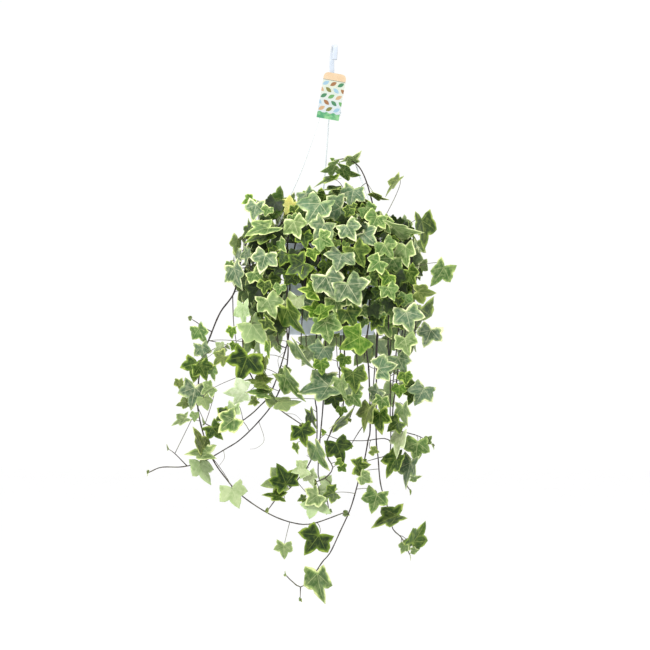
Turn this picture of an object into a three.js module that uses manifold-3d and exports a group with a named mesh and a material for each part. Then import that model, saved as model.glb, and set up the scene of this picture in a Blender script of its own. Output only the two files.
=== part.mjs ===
// A hanging pot of variegated ivy: a hook with a hub, three strands, a wide-rimmed pot on its saucer,
// a care tag, the soil, and the rooted stems of the plant with their leaves.
// Millimetres, +Z up, the front towards -Y. The origin is the hook's seat, and the pot hangs under it.
import * as THREE from 'three';
import { mergeVertices } from 'three/addons/utils/BufferGeometryUtils.js';
import Module from 'manifold-3d';

const wasm = await Module();
wasm.setup();

// Driving dimensions of the holder
const GAP = 0.35; // between pieces that touch
const HOOK_BORE = 13; // radius of the crook, to its seat
const HOOK_THICKNESS = 3.2;
const HOOK_WIDTH = 7;
const HOOK_TWIST = 8; // degrees that the crook is turned from edge-on
const HOOK_LEAN = 0.1; // of the shank to the right, per unit of height
const HUB_RADIUS = 6.5;
const HUB_TOP = -46;
const POT_AXIS = HOOK_LEAN * HUB_TOP; // across, from the hook's seat
const HUB_BOTTOM = -59;
const STRAND_RADIUS = 1.1;
const STRAND_AZIMUTHS = { left: -84, right: 60, back: 192 };
const TAG = { width: 34, height: 70, thickness: 0.7, corner: 7, lean: 10, stand: 11.8 };
const RIM = { top: -297, radius: 84.6, lip: 13, wall: 2.4 };
const POT = { base: -432.6, baseRadius: 62, topRadius: 69.5, wall: 1.8 };
const SAUCER = { base: -435, top: -411, radius: 65.8, wall: 1.6 };
const SOIL_TOP = -309;
const TURN_STEPS = 30; // facets round the pot

// Driving dimensions of the plant
const STEM_RADIUS = 1.7;
const TWIG_RADIUS = 1.2;
const STALK_RADIUS = 0.85;
const BLADE = 0.7; // thickness of a leaf
const STEM_STEP = 38; // length of one straight run of a stem
const ROOT_DEPTH = 14; // of a stem in the soil
const HOLE_RADIUS = 2.8;
const RIM_CROSSING = 90; // radius at which a stem passes over the rim
const LONGEST_STALK = 80;

const deg = THREE.MathUtils.degToRad;
const v3 = (x, y, z) => new THREE.Vector3(x, y, z);

// Half width and half depth of the whole plant at some heights, as [z, width, depth]
const OUTLINE = [
  [-165, 60, 26],
  [-200, 90, 55],
  [-230, 125, 88],
  [-262, 155, 112],
  [-300, 166, 124],
  [-360, 172, 130],
  [-430, 190, 124],
  [-500, 218, 114],
  [-560, 232, 106],
  [-640, 290, 94],
  [-720, 160, 82],
  [-840, 90, 64],
];

function outlineAt(z) {
  const last = OUTLINE.length - 1;
  if (z >= OUTLINE[0][0]) return OUTLINE[0];
  if (z <= OUTLINE[last][0]) return OUTLINE[last];
  const i = OUTLINE.findIndex((row) => row[0] <= z);
  const [za, wa, da] = OUTLINE[i - 1];
  const [zb, wb, db] = OUTLINE[i];
  const t = (z - za) / (zb - za);
  return [z, wa + (wb - wa) * t, da + (db - da) * t];
}

// How far the plant's front stands out from the pot's axis plane at a place of the front view
function frontDepth(x, z) {
  const [, width, depth] = outlineAt(z);
  const side = Math.min(Math.abs(x) / width, 0.98);
  return depth * Math.sqrt(1 - side * side);
}

// The rooted stems at the front. Each passes over the rim at its azimuth, in degrees from the front,
// having stood in the soil at its root radius and arched above the rim. Its run outside the rim is in
// the front view, as [x, z, layer], with the layer counted inwards from the plant's front. A twig
// starts on its stem.
const FRONT_STEMS = {
  ivy_left_loop: {
    azimuth: -92, root: 52, arch: 24,
    run: [
      [-122, -288, 2], [-137, -325, 2], [-146, -370, 2], [-167, -400, 2], [-181, -432, 2],
      [-196, -475, 2], [-202, -534, 2], [-194, -580, 2], [-179, -621, 2], [-160, -649, 2],
      [-137, -675, 2], [-95, -703, 1], [-58, -717, 1], [-28, -718, 1], [18, -702, 1],
    ],
    twigs: [
      [[-150, -376, 2], [-147, -417, 1], [-142, -452, 1]],
      [[-181, -432, 2], [-192, -424, 1], [-203, -416, 1], [-211, -411, 1]],
      [[-185, -443, 2], [-172, -446, 2], [-158, -450, 2]],
    ],
  },
  ivy_left_shoulder: {
    azimuth: -69, root: 40, arch: 38,
    run: [[-106, -276, 1.5], [-126, -305, 1.5], [-118, -345, 1.5], [-108, -390, 1.5], [-104, -440, 1.5]],
    twigs: [],
  },
  ivy_left_crossing: {
    azimuth: -57, root: 55, arch: 16,
    run: [
      [-96, -325, 1], [-125, -390, 0.5], [-133, -450, 0], [-121, -495, 0], [-94, -531, -0.6],
      [-74, -549, -0.6], [-46, -568, -0.6],
    ],
    twigs: [],
  },
  ivy_far_left: {
    azimuth: -45, root: 46, arch: 26,
    run: [
      [-67, -325, 1.5], [-67, -357, 1], [-67, -420, 1], [-65, -459, 1], [-70, -496, 1],
      [-86, -534, 0.5], [-107, -562, 0.5], [-136, -591, 0.5], [-161, -607, 0], [-193, -625, 0],
      [-224, -633, 0], [-256, -634, 0], [-275, -642, 0],
    ],
    twigs: [[[-215, -630, 0], [-236, -613, 0], [-245, -607, 0]]],
  },
  ivy_left_inner: {
    azimuth: -34, root: 55, arch: 18,
    run: [
      [-60, -330, 2.6], [-63, -380, 2.6], [-64, -433, 2.6], [-69, -457, 2.6], [-83, -502, 2.6],
      [-95, -528, 2.6], [-107, -541, 2.6], [-122, -555, 2], [-143, -568, 1.5], [-176, -573, 1],
      [-190, -568, 1],
    ],
    twigs: [[[-69, -456, 2.6], [-79, -449, 2.6], [-84, -436, 2.6]]],
  },
  ivy_front_left: {
    azimuth: -23, root: 42, arch: 30,
    run: [[-38, -325, 0.8], [-42, -370, 0.8], [-44, -410, 1], [-46, -450, 1]],
    twigs: [],
  },
  ivy_front_long: {
    azimuth: -12, root: 56, arch: 20,
    run: [
      [-20, -330, 1], [-22, -420, 1], [-25, -520, 1], [-22, -549, 1], [-22, -591, 1],
      [-25, -609, 0.6], [-37, -634, 0.6], [-51, -652, 0.6], [-64, -666, 0.6], [-79, -676, 0.6],
      [-95, -697, 0.6],
    ],
    twigs: [],
  },
  ivy_front_inner: {
    azimuth: -2, root: 44, arch: 32,
    run: [
      [-6, -330, 2.3], [-8, -420, 2.3], [-11, -500, 2.3], [-13, -544, 2.3], [-18, -600, 2],
      [-20, -633, 2], [-19, -649, 2], [-8, -678, 2], [-4, -697, 2],
    ],
    twigs: [],
  },
  ivy_front_right: {
    azimuth: 9, root: 56, arch: 18,
    run: [
      [15, -330, 1.2], [18, -420, 1.2], [20, -500, 1.2], [16, -550, 1.2], [7, -564, 0.4],
      [-2, -583, 0], [-9, -600, -0.4], [-6, -618, -0.4], [2, -634, -0.2], [-8, -648, -0.2],
      [-23, -655, -0.2],
    ],
    twigs: [[[20, -492, 1.2], [10, -484, 0.2], [8, -460, 0], [7, -438, 0]]],
  },
  ivy_front_short: {
    azimuth: 20, root: 43, arch: 34,
    run: [
      [30, -325, 1], [33, -370, 1.4], [35, -420, 1.6], [38, -470, 1.2], [40, -520, 0.8],
      [27, -560, 0.6],
    ],
    twigs: [],
  },
  ivy_right_long: {
    azimuth: 31, root: 56, arch: 20,
    run: [
      [54, -330, 1], [57, -400, 1], [52, -450, 1], [56, -490, 1], [58, -573, 1], [55, -592, 1],
      [49, -624, 1], [41, -652, 1], [29, -694, 1], [13, -730, 1], [-2, -762, 1], [-13, -775, 1],
      [-31, -801, 1], [-46, -814, 1], [-60, -805, 1], [-68, -797, 1],
    ],
    twigs: [[[52, -558, 1], [41, -580, 0.5], [29, -600, 0.5]], [[-46, -814, 1], [-47, -831, 1]]],
  },
  ivy_right_inner: {
    azimuth: 49, root: 44, arch: 28,
    run: [
      [68, -330, 2.2], [70, -380, 2.2], [70, -427, 2.2], [68, -463, 2.2], [67, -583, 2.2],
      [70, -619, 2.2], [74, -660, 2.2], [85, -696, 2], [92, -726, 2], [106, -741, 2], [118, -766, 2],
    ],
    twigs: [],
  },
  ivy_right_crossing: {
    azimuth: 66, root: 56, arch: 18,
    run: [
      [86, -330, 1.5], [86, -400, 1.5], [85, -448, 1.5], [88, -501, 1], [88, -552, 1],
      [89, -589, 1], [88, -615, 1],
    ],
    twigs: [
      [[89, -592, 1], [80, -590, 0.4], [66, -591, 0], [52, -593, -0.2], [32, -593, -0.4],
        [11, -591, -0.9], [-10, -583, -1.2]],
      [[88, -612, 1], [71, -619, 0.3], [53, -624, 0]],
    ],
  },
  ivy_right_outer: {
    azimuth: 76, root: 46, arch: 30,
    run: [
      [102, -330, 2], [108, -400, 2], [104, -450, 2.4], [100, -486, 2.4], [97, -511, 2.4],
      [92, -549, 2.8], [94, -580, 2.6], [98, -609, 2], [106, -632, 2], [113, -660, 2], [118, -668, 2],
    ],
    twigs: [[[94, -574, 2.6], [107, -580, 2], [134, -588, 2], [151, -600, 2]]],
  },
  ivy_right_shoulder: {
    azimuth: 87, root: 55, arch: 34,
    run: [[116, -290, 1.2], [122, -367, 1], [127, -400, 1], [126, -424, 1], [125, -438, 1]],
    twigs: [],
  },
};

// The upright shoots of the crown, as points in space
const CROWN_SHOOTS = {
  ivy_top_runner: [
    [30, 14, -323], [30, 14, -303], [34, 14, -290], [56, 8, -266], [63, -6, -247],
    [58, -18, -222], [49, -33, -195], [38, -34, -178], [22, -32, -170], [4, -28, -172],
  ],
  ivy_top_right: [
    [8, -2, -323], [8, -2, -303], [9, -6, -280], [12, -26, -245], [17, -42, -222], [30, -54, -216],
  ],
  ivy_top_left: [
    [-14, -6, -323], [-14, -6, -303], [-14, -10, -280], [-12, -30, -245], [-12, -44, -228],
    [-24, -62, -226],
  ],
};

// The rooted stems at the sides and back: azimuth, root radius, arch, reach, height of the tip, and
// the turn of the tip about the pot
const BACK_STEMS = [
  [98, 44, 24, 122, -452, 4],
  [111, 55, 34, 114, -520, 5],
  [125, 42, 22, 120, -488, 3],
  [139, 55, 32, 114, -540, 4],
  [151, 43, 20, 122, -470, 2],
  [170, 54, 30, 116, -530, 4],
  [184, 42, 22, 120, -470, 5],
  [199, 55, 34, 114, -452, 3],
  [214, 43, 24, 120, -444, 4],
  [229, 55, 30, 114, -450, 3],
  [243, 42, 22, 120, -440, 4],
  [256, 55, 34, 114, -455, -3],
];

// The leaves seen from the front: [stalk end x, z, blade tip x, z, pitch, roll, layer]. The pitch
// leans the tip forward, and the roll turns the blade about its midrib, in degrees.
const CROWN_LEAVES = [
  [24, -173, 47, -162, 20, 66, 0],
  [5, -180, -15, -192, 20, -58, 0],
  [16, -185, 42, -199, 10, 62, 1],
  [4, -201, -28, -208, 0, 77, 0],
  [7, -216, -20, -216, 0, 79, 0],
  [33, -218, 27, -245, 15, 0, 0],
  [16, -221, 2, -236, 10, 10, 1],
  [100, -201, 78, -224, 0, 73, 0],
  [64, -223, 85, -236, 0, 75, 0],
  [40, -231, 60, -248, 0, 60, 2],
  [-113, -239, -120, -265, 10, 35, 0],
  [-120, -230, -136, -236, 10, 40, 0],
  [-73, -230, -92, -265, 15, -40, 6],
  [-58, -236, -73, -254, 20, 30, 6],
  [-39, -223, -30, -245, 20, 22, 0],
  [-56, -265, -49, -292, 20, 30, 0],
  [-17, -238, -40, -268, 25, 32, 0],
  [14, -244, -17, -258, 15, -15, 1],
  [68, -258, 57, -281, 20, -10, 0],
  [77, -265, 87, -284, 20, 20, 1],
  [93, -273, 137, -287, 10, 72, 0],
  [118, -281, 118, -263, 0, 65, 1],
  [136, -263, 144, -307, 0, -58, 0],
  [23, -272, 37, -295, 10, 0, 0],
  [48, -283, 69, -301, 15, 0, 1],
  [79, -299, 93, -322, 10, 0, 0],
  [-96, -283, -132, -293, 0, 55, 1],
  [-94, -274, -130, -282, 20, 62, 0],
  [-141, -292, -148, -316, 0, 122, 0],
  [-11, -269, -26, -295, 10, -10, 0],
  [-17, -290, 4, -302, 15, 0, 0],
  [-28, -308, -25, -325, 10, 0, 0],
  [34, -306, 50, -333, 10, -20, 1],
  [15, -315, 8, -338, 45, 0, 0],
  [111, -303, 111, -335, 10, 45, 0],
  [-99, -315, -107, -344, 10, 0, 0],
  [-42, -328, -70, -343, 10, 20, 1],
  [-8, -348, 6, -382, 12, 0, 0],
  [71, -325, 53, -341, 10, 0, 0],
  [86, -346, 75, -363, 10, 0, 0],
  [169, -333, 152, -364, 0, -42, 0],
  [115, -339, 125, -363, 10, 30, 0],
  [129, -370, 157, -375, 0, 42, 0],
  [-146, -335, -138, -369, 10, 52, 0],
  [-153, -326, -152, -338, 0, 30, 0],
  [-116, -341, -102, -358, 10, 0, 1],
  [-58, -346, -72, -361, 0, 0, 2],
  [24, -359, 44, -392, 12, 0, 0],
  [-25, -372, -50, -364, 10, 42, 0],
  [84, -364, 94, -384, 10, 0, 0],
  [-96, -382, -82, -410, 15, -25, 0],
  [-52, -381, -62, -410, 10, 45, 2],
  [-42, -383, -39, -415, 0, 25, 4],
  [-20, -400, -45, -391, 10, 45, 0],
  [-17, -404, 3, -389, 10, -50, 0],
  [-132, -392, -133, -424, 0, 58, 1],
  [112, -400, 120, -434, 10, 0, 0],
  [-66, -396, -45, -438, 0, 58, 0],
  [23, -399, 37, -424, 15, 0, 1],
  [-9, -415, -3, -448, 10, 0, 0],
  [-98, -414, -83, -432, 0, 55, 0],
  [-119, -419, -97, -452, 0, 158, 1],
  [110, -441, 116, -467, 10, 0, 0],
  [149, -427, 139, -455, 0, -10, 0],
  [42, -438, 11, -456, 10, 0, 0],
  [-12, -454, -26, -479, 10, 0, 1],
  [-16, -475, -14, -495, 10, 0, 0],
];

const LEFT_LEAVES = [
  [-200, -425, -190, -450, 0, 45, 0],
  [-195, -452, -189, -478, 0, 42, 0],
  [-163, -454, -180, -462, 0, 150, 1],
  [-161, -467, -180, -480, 0, 40, 0],
  [-149, -425, -151, -441, 0, 40, 0],
  [-145, -448, -150, -459, 0, 0, 0],
  [-126, -467, -141, -506, 5, 0, 0],
  [-94, -450, -96, -471, 0, 70, 0],
  [-100, -470, -101, -489, 0, 55, 1],
  [-54, -450, -32, -489, 0, 76, 0],
  [-203, -477, -210, -507, 0, 20, 1],
  [-197, -481, -186, -504, 0, -20, 0],
  [-179, -484, -178, -505, 0, 50, 0],
  [-229, -504, -228, -521, 0, 45, 0],
  [-205, -514, -213, -548, 10, 22, 0],
  [-218, -537, -235, -540, 0, 40, 1],
  [-180, -513, -197, -524, 0, 10, 1],
  [-192, -530, -186, -549, 0, 160, 0],
  [-131, -520, -163, -519, 0, 150, 0],
  [-98, -523, -127, -517, 0, 60, 0],
  [-100, -508, -131, -500, 0, 58, 2],
  [-103, -489, -93, -509, 0, 72, 1],
  [-91, -528, -76, -550, 0, 118, 1],
  [-113, -533, -126, -539, 0, 30, 1],
  [-77, -535, -45, -539, 0, 120, 0],
  [-68, -498, -43, -538, 0, 64, 0],
  [-71, -486, -62, -502, 0, 40, 1],
  [-45, -575, -38, -603, 5, 0, 0],
  [-53, -599, -52, -614, 0, 55, 0],
  [-157, -554, -176, -563, 0, 20, 0],
  [-146, -561, -172, -580, 0, 30, 1],
  [-179, -573, -164, -594, 0, 30, 0],
  [-145, -542, -150, -565, 0, 48, 1],
  [-220, -561, -242, -569, 0, 58, 0],
  [-205, -553, -207, -566, 0, 30, 0],
  [-194, -603, -204, -571, 0, 62, 0],
  [-185, -612, -221, -609, 0, 58, 0],
  [-197, -627, -185, -662, 0, 130, 0],
  [-149, -666, -139, -696, 0, 170, 1],
  [-75, -654, -107, -659, 0, 160, 1],
  [-68, -658, -81, -626, 0, 20, 0],
  [-76, -677, -104, -671, 0, 60, 0],
  [-40, -635, -61, -640, 0, 20, 0],
  [-33, -642, -28, -663, 0, 40, 0],
  [-21, -675, -41, -690, 0, 10, 0],
  [-40, -680, -52, -683, 0, 40, 1],
  [-27, -683, -1, -704, 0, 165, 0],
  [-2, -659, -24, -669, 0, 160, 1],
];

const RIGHT_LEAVES = [
  [-4, -511, -52, -517, 5, 48, 0],
  [4, -671, -16, -678, 0, 20, 0],
  [71, -485, 99, -479, 10, 0, 0],
  [100, -469, 111, -495, 0, 25, 1],
  [32, -491, 36, -522, 10, 0, 0],
  [110, -493, 112, -511, 0, 0, 0],
  [20, -468, 14, -485, 0, 0, 1],
  [14, -504, 19, -533, 0, 58, 0],
  [15, -544, 14, -558, 0, 0, 0],
  [3, -525, 9, -549, 0, 0, 1],
  [8, -568, 38, -547, 0, 75, 0],
  [-31, -552, -24, -579, 0, 68, 0],
  [30, -525, 45, -543, 0, 10, 0],
  [56, -546, 43, -580, 0, 60, 0],
  [70, -519, 56, -535, 0, 20, 1],
  [72, -552, 72, -585, 0, 40, 0],
  [76, -531, 72, -552, 0, 30, 0],
  [102, -512, 100, -530, 0, 20, 0],
  [116, -506, 122, -518, 0, 0, 0],
  [138, -515, 125, -542, 0, -10, 0],
  [125, -518, 113, -540, 0, 30, 1],
  [100, -565, 82, -579, 0, 20, 0],
  [107, -543, 110, -573, 0, 55, 0],
  [104, -584, 92, -619, 0, 62, 0],
  [129, -596, 125, -626, 5, 10, 0],
  [142, -594, 151, -586, 0, 20, 0],
  [97, -619, 79, -648, 0, 50, 0],
  [98, -616, 107, -607, 0, 30, 1],
  [119, -626, 106, -665, 0, 60, 0],
  [120, -649, 136, -648, 0, 60, 0],
  [-23, -602, -8, -641, 0, 66, 0],
  [7, -597, 19, -627, 0, 0, 0],
  [14, -624, 4, -629, 0, 0, 0],
  [14, -631, 22, -640, 0, 0, 0],
  [37, -631, 60, -630, 0, 20, 0],
  [45, -646, 62, -656, 0, 10, 0],
  [68, -674, 60, -703, 5, 0, 0],
  [60, -607, 72, -611, 0, 20, 0],
  [98, -706, 57, -719, 0, 60, 0],
  [-19, -735, -41, -765, 5, 0, 0],
  [-71, -750, -72, -772, 0, 20, 0],
  [-21, -793, -16, -840, 0, 52, 0],
  [123, -746, 145, -717, 0, 52, 0],
  [110, -751, 104, -764, 0, 20, 0],
  [121, -759, 132, -759, 0, 30, 0],
  [111, -751, 125, -748, 0, 0, 1],
];

// Solids

function solidOf(geometry) {
  const bare = geometry.clone();
  bare.deleteAttribute('normal');
  bare.deleteAttribute('uv');
  const merged = mergeVertices(bare, 1e-4);
  const vertProperties = new Float32Array(merged.attributes.position.array);
  const triVerts = new Uint32Array(merged.index.array);
  return new wasm.Manifold(new wasm.Mesh({ numProp: 3, vertProperties, triVerts }));
}

// Joining leaves specks and slivers where surfaces nearly meet. Edges under this length are closed
// up, and a sliver flatter than SLIVER gives its long edge to its neighbour.
const SPECK = 0.04;
const SLIVER = 0.008;

function withoutSlivers(corners, triangles) {
  const around = corners.map(() => new Set());
  triangles.forEach((triangle, t) => triangle.forEach((c) => around[c].add(t)));
  const cross = ([a, b, c]) => corners[b].clone().sub(corners[a]).cross(corners[c].clone().sub(corners[a]));
  const turns = (before, after) => before.dot(after) < 0.3 * before.length() * after.length();
  const neighbours = (c) => new Set([...around[c]].flatMap((t) => triangles[t]));
  const replace = (t, triangle) => {
    triangles[t].forEach((c) => around[c].delete(t));
    triangles[t] = triangle;
    triangle.forEach((c) => around[c].add(t));
  };
  const closeUp = (keep, drop) => {
    const shared = [...neighbours(keep)].filter((c) => neighbours(drop).has(c));
    if (shared.length !== 4) return false;
    const moved = [...around[drop]].filter((t) => !triangles[t].includes(keep));
    const after = moved.map((t) => triangles[t].map((c) => (c === drop ? keep : c)));
    if (moved.some((t, i) => turns(cross(triangles[t]), cross(after[i])))) return false;
    for (const t of [...around[drop]].filter((u) => triangles[u].includes(keep))) replace(t, []);
    moved.forEach((t, i) => replace(t, after[i]));
    return true;
  };
  const turnEdge = (t, a, b, c) => {
    const other = [...around[a]].find((u) => u !== t && triangles[u].includes(b));
    const d = triangles[other].find((v) => v !== a && v !== b);
    if (neighbours(c).has(d)) return false;
    const pair = [[c, a, d], [c, d, b]];
    if (pair.some((triangle) => turns(cross(triangles[other]), cross(triangle)))) return false;
    replace(t, pair[0]);
    replace(other, pair[1]);
    return true;
  };
  for (let pass = 0; pass < 8; pass += 1) {
    let changes = 0;
    for (let t = 0; t < triangles.length; t += 1) {
      if (triangles[t].length === 0) continue;
      const sides = [0, 1, 2].map((k) => {
        const [a, b, c] = [0, 1, 2].map((i) => triangles[t][(k + i) % 3]);
        return { a, b, c, length: corners[a].distanceTo(corners[b]) };
      });
      sides.sort((p, q) => p.length - q.length);
      const [short, , long] = sides;
      if (short.length < SPECK) {
        if (closeUp(short.a, short.b) || closeUp(short.b, short.a)) changes += 1;
      } else if (cross(triangles[t]).length() / long.length < SLIVER) {
        if (turnEdge(t, long.a, long.b, long.c)) changes += 1;
      }
    }
    if (changes === 0) break;
  }
  return triangles.filter((triangle) => triangle.length === 3);
}

function geometryOf(solid) {
  const { vertProperties, triVerts } = solid.getMesh();
  const corners = [];
  for (let i = 0; i < vertProperties.length; i += 3) corners.push(v3(...vertProperties.slice(i, i + 3)));
  const triangles = [];
  for (let i = 0; i < triVerts.length; i += 3) triangles.push([...triVerts.slice(i, i + 3)]);
  const geometry = new THREE.BufferGeometry().setFromPoints(corners);
  geometry.setIndex(withoutSlivers(corners, triangles).flat());
  geometry.computeVertexNormals();
  return geometry;
}

// The outer body of a joined solid, without any pocket that joining sealed
function outerBody(solid) {
  const bodies = solid.decompose();
  return bodies.reduce((best, body) => (body.volume() > best.volume() ? body : best));
}

function join(solids) {
  return solids.reduce((sum, solid) => sum.add(solid));
}

function polygon(sides, radius) {
  const corners = [];
  for (let i = 0; i < sides; i += 1) {
    const a = (2 * Math.PI * i) / sides;
    corners.push(new THREE.Vector2(radius * Math.cos(a), radius * Math.sin(a)));
  }
  return new THREE.Shape(corners);
}

function tube(curve, sides, radius, steps) {
  const options = { steps, bevelEnabled: false, extrudePath: curve };
  return new THREE.ExtrudeGeometry(polygon(sides, radius), options);
}

function lathe(profile) {
  const points = profile.map(([r, z]) => new THREE.Vector2(r, z));
  const geometry = new THREE.LatheGeometry(points, TURN_STEPS);
  geometry.rotateX(Math.PI / 2);
  return geometry;
}

const model = new THREE.Group();

function addPiece(name, geometry, color, roughness, metalness = 0) {
  const material = new THREE.MeshStandardMaterial({ color, roughness, metalness });
  const mesh = new THREE.Mesh(geometry, material);
  mesh.name = name;
  geometry.translate(POT_AXIS, 0, 0);
  model.add(mesh);
}

// Holder

// The crook and shank as a flat strip in the plane of the crook, with a level facet as the seat
function hookGeometry() {
  const facets = 9;
  const half = Math.PI / facets / 2;
  const arc = (radius) => {
    const corners = [];
    for (let i = 0; i <= facets; i += 1) {
      const a = (Math.PI * i) / facets;
      const r = radius / Math.cos(half);
      corners.push([r * Math.cos(a), r * Math.sin(a) - HOOK_BORE]);
    }
    return corners;
  };
  const t = HOOK_THICKNESS / 2;
  const shankTop = HOOK_BORE + t;
  const outside = [[t, HUB_TOP - 2], [t, -38], [shankTop * 0.62 + t, -27], ...arc(HOOK_BORE + 2 * t)];
  const tip = [[-shankTop - t - 1.5, -20], [-shankTop + t - 1.5, -20.6]];
  const inside = [...arc(HOOK_BORE).reverse(), [shankTop * 0.62 - t, -25.5], [-t, -37], [-t, HUB_TOP - 2]];
  const outline = [...outside, ...tip, ...inside].map(([u, z]) => new THREE.Vector2(u, z));
  const strip = new THREE.ExtrudeGeometry(new THREE.Shape(outline), {
    depth: HOOK_WIDTH,
    bevelEnabled: false,
  });
  strip.translate(0, 0, -HOOK_WIDTH / 2);
  strip.rotateX(Math.PI / 2);
  strip.rotateZ(deg(90 + HOOK_TWIST));
  strip.applyMatrix4(new THREE.Matrix4().makeShear(0, 0, 0, 0, HOOK_LEAN, 0));
  strip.translate(-HOOK_LEAN * HUB_TOP, 0, 0);
  const hub = new THREE.CylinderGeometry(HUB_RADIUS, HUB_RADIUS - 1.5, HUB_TOP - HUB_BOTTOM, 20);
  hub.rotateX(Math.PI / 2);
  hub.translate(0, 0, (HUB_TOP + HUB_BOTTOM) / 2);
  return geometryOf(solidOf(strip).add(solidOf(hub)));
}

// A strand bows out from the hub to the rim, and its foot grips the rim's lip from outside
const STRAND_BOW = [
  [0.028, -HUB_BOTTOM + GAP],
  [0.22, 109],
  [0.5, 180],
  [0.75, 231],
  [0.96, 279],
  [1, 292],
  [1, 304],
];

function strandCurve(azimuth) {
  const reach = RIM.radius + 1.9;
  const sin = Math.sin(deg(azimuth));
  const cos = Math.cos(deg(azimuth));
  const points = STRAND_BOW.map(([part, drop]) => v3(part * reach * sin, -part * reach * cos, -drop));
  points[0] = v3(3.6 * sin, -3.6 * cos, HUB_BOTTOM - GAP);
  return new THREE.CatmullRomCurve3(points, false, 'catmullrom');
}

function strandGeometry(azimuth) {
  const inner = RIM.radius - RIM.wall - 2 * GAP;
  const outer = RIM.radius + 0.8;
  const under = RIM.top - RIM.lip - GAP;
  const t = 2 * STRAND_RADIUS;
  const outline = [
    [outer, -302],
    [outer, under],
    [inner, under],
    [inner, under + 5],
    [inner - 1.6, under + 5],
    [inner - 1.6, under - t],
    [outer + t, under - t],
    [outer + t, -302],
  ].map(([r, z]) => new THREE.Vector2(r, z));
  const foot = new THREE.ExtrudeGeometry(new THREE.Shape(outline), { depth: 4, bevelEnabled: false });
  foot.translate(0, 0, -2);
  foot.rotateX(Math.PI / 2);
  foot.rotateZ(deg(azimuth - 90));
  const rod = tube(strandCurve(azimuth), 5, STRAND_RADIUS, 9);
  return geometryOf(solidOf(rod).add(solidOf(foot)));
}

// A card that leans to one side, hung by a tab with a hole on the hook's shank
function tagGeometry() {
  const { width, height, thickness, corner, lean, stand } = TAG;
  const hole = { x: -5.5, drop: 5, radius: 4.7 };
  const detail = { depth: thickness, bevelEnabled: false, curveSegments: 4 };
  const card = new THREE.Shape();
  card.moveTo(-width / 2, -height / 2);
  card.lineTo(width / 2, -height / 2);
  card.lineTo(width / 2, height / 2 - corner);
  card.absarc(width / 2 - corner, height / 2 - corner, corner, 0, Math.PI / 2);
  card.lineTo(-width / 2 + corner, height / 2);
  card.absarc(-width / 2 + corner, height / 2 - corner, corner, Math.PI / 2, Math.PI);
  const face = new THREE.ExtrudeGeometry(card, detail);
  face.rotateX(Math.PI / 2);
  face.translate(-hole.x, -stand, -height / 2 + hole.drop);
  const tabReach = HUB_RADIUS + 1.5;
  const strip = new THREE.Shape();
  strip.moveTo(-tabReach, -stand - thickness);
  strip.lineTo(tabReach, -stand - thickness);
  strip.lineTo(tabReach, 0);
  strip.absarc(0, 0, tabReach, 0, Math.PI);
  const ring = new THREE.Path();
  ring.absarc(0, 0, hole.radius, 0, 2 * Math.PI, true);
  strip.holes.push(ring);
  const tab = new THREE.ExtrudeGeometry(strip, detail);
  const geometry = geometryOf(solidOf(face).add(solidOf(tab)));
  geometry.rotateY(deg(lean));
  const lift = Math.sin(deg(lean)) * HUB_RADIUS + GAP;
  geometry.translate(0, 0, HUB_TOP + lift);
  return geometry;
}

function potRadius(z) {
  const t = (z - POT.base) / (RIM.top - POT.base);
  return POT.baseRadius + (POT.topRadius - POT.baseRadius) * t;
}

function potGeometry() {
  const under = RIM.top - RIM.wall;
  const inside = POT.topRadius - POT.wall;
  return lathe([
    [0, POT.base],
    [POT.baseRadius, POT.base],
    [potRadius(under), under],
    [RIM.radius - RIM.wall, under],
    [RIM.radius - RIM.wall, RIM.top - RIM.lip],
    [RIM.radius, RIM.top - RIM.lip],
    [RIM.radius, RIM.top - 1.5],
    [RIM.radius - 1.5, RIM.top],
    [inside, RIM.top],
    [POT.baseRadius - POT.wall, POT.base + POT.wall],
    [0, POT.base + POT.wall],
  ]);
}

function saucerGeometry() {
  const floor = SAUCER.base + SAUCER.wall;
  const inside = SAUCER.radius - SAUCER.wall;
  return lathe([
    [0, SAUCER.base],
    [SAUCER.radius - 1.6, SAUCER.base],
    [SAUCER.radius, SAUCER.top],
    [inside, SAUCER.top],
    [inside - 0.8, floor],
    [0, floor],
  ]);
}

function soilGeometry(firstRuns) {
  const floor = POT.base + POT.wall + GAP;
  const edge = SOIL_TOP - 3;
  const radiusAt = (z) => potRadius(z) - POT.wall - GAP - 0.4;
  let soil = solidOf(lathe([
    [0, floor],
    [radiusAt(floor) - 0.6, floor],
    [radiusAt(edge), edge],
    [0, SOIL_TOP],
  ]));
  for (const [foot, bend] of firstRuns) {
    const below = foot.clone().addScaledVector(foot.clone().sub(bend).normalize(), GAP);
    soil = soil.subtract(solidOf(tube(new THREE.LineCurve3(below, bend), 4, HOLE_RADIUS, 1)));
  }
  return geometryOf(soil);
}

// Stems

const STEM_INSET = 16; // of the outermost stems behind the plant's front
const LAYER = 11; // between layers of stems

const frontPoint = ([x, z, layer]) => v3(x, -(frontDepth(x, z) - STEM_INSET - LAYER * layer), z);

function roundPot(azimuth, radius, z) {
  return v3(radius * Math.sin(deg(azimuth)), -radius * Math.cos(deg(azimuth)), z);
}

// From the soil up and over the rim
function rise(azimuth, root, arch) {
  const soil = SOIL_TOP - ROOT_DEPTH;
  return [
    roundPot(azimuth, root, soil),
    roundPot(azimuth, root, SOIL_TOP + 6),
    roundPot(azimuth, root + 5, RIM.top + 0.6 * arch),
    roundPot(azimuth, (root + RIM_CROSSING) / 2 + 3, RIM.top + arch),
    roundPot(azimuth, RIM_CROSSING, RIM.top + 0.5 * arch + 3),
  ];
}

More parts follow.
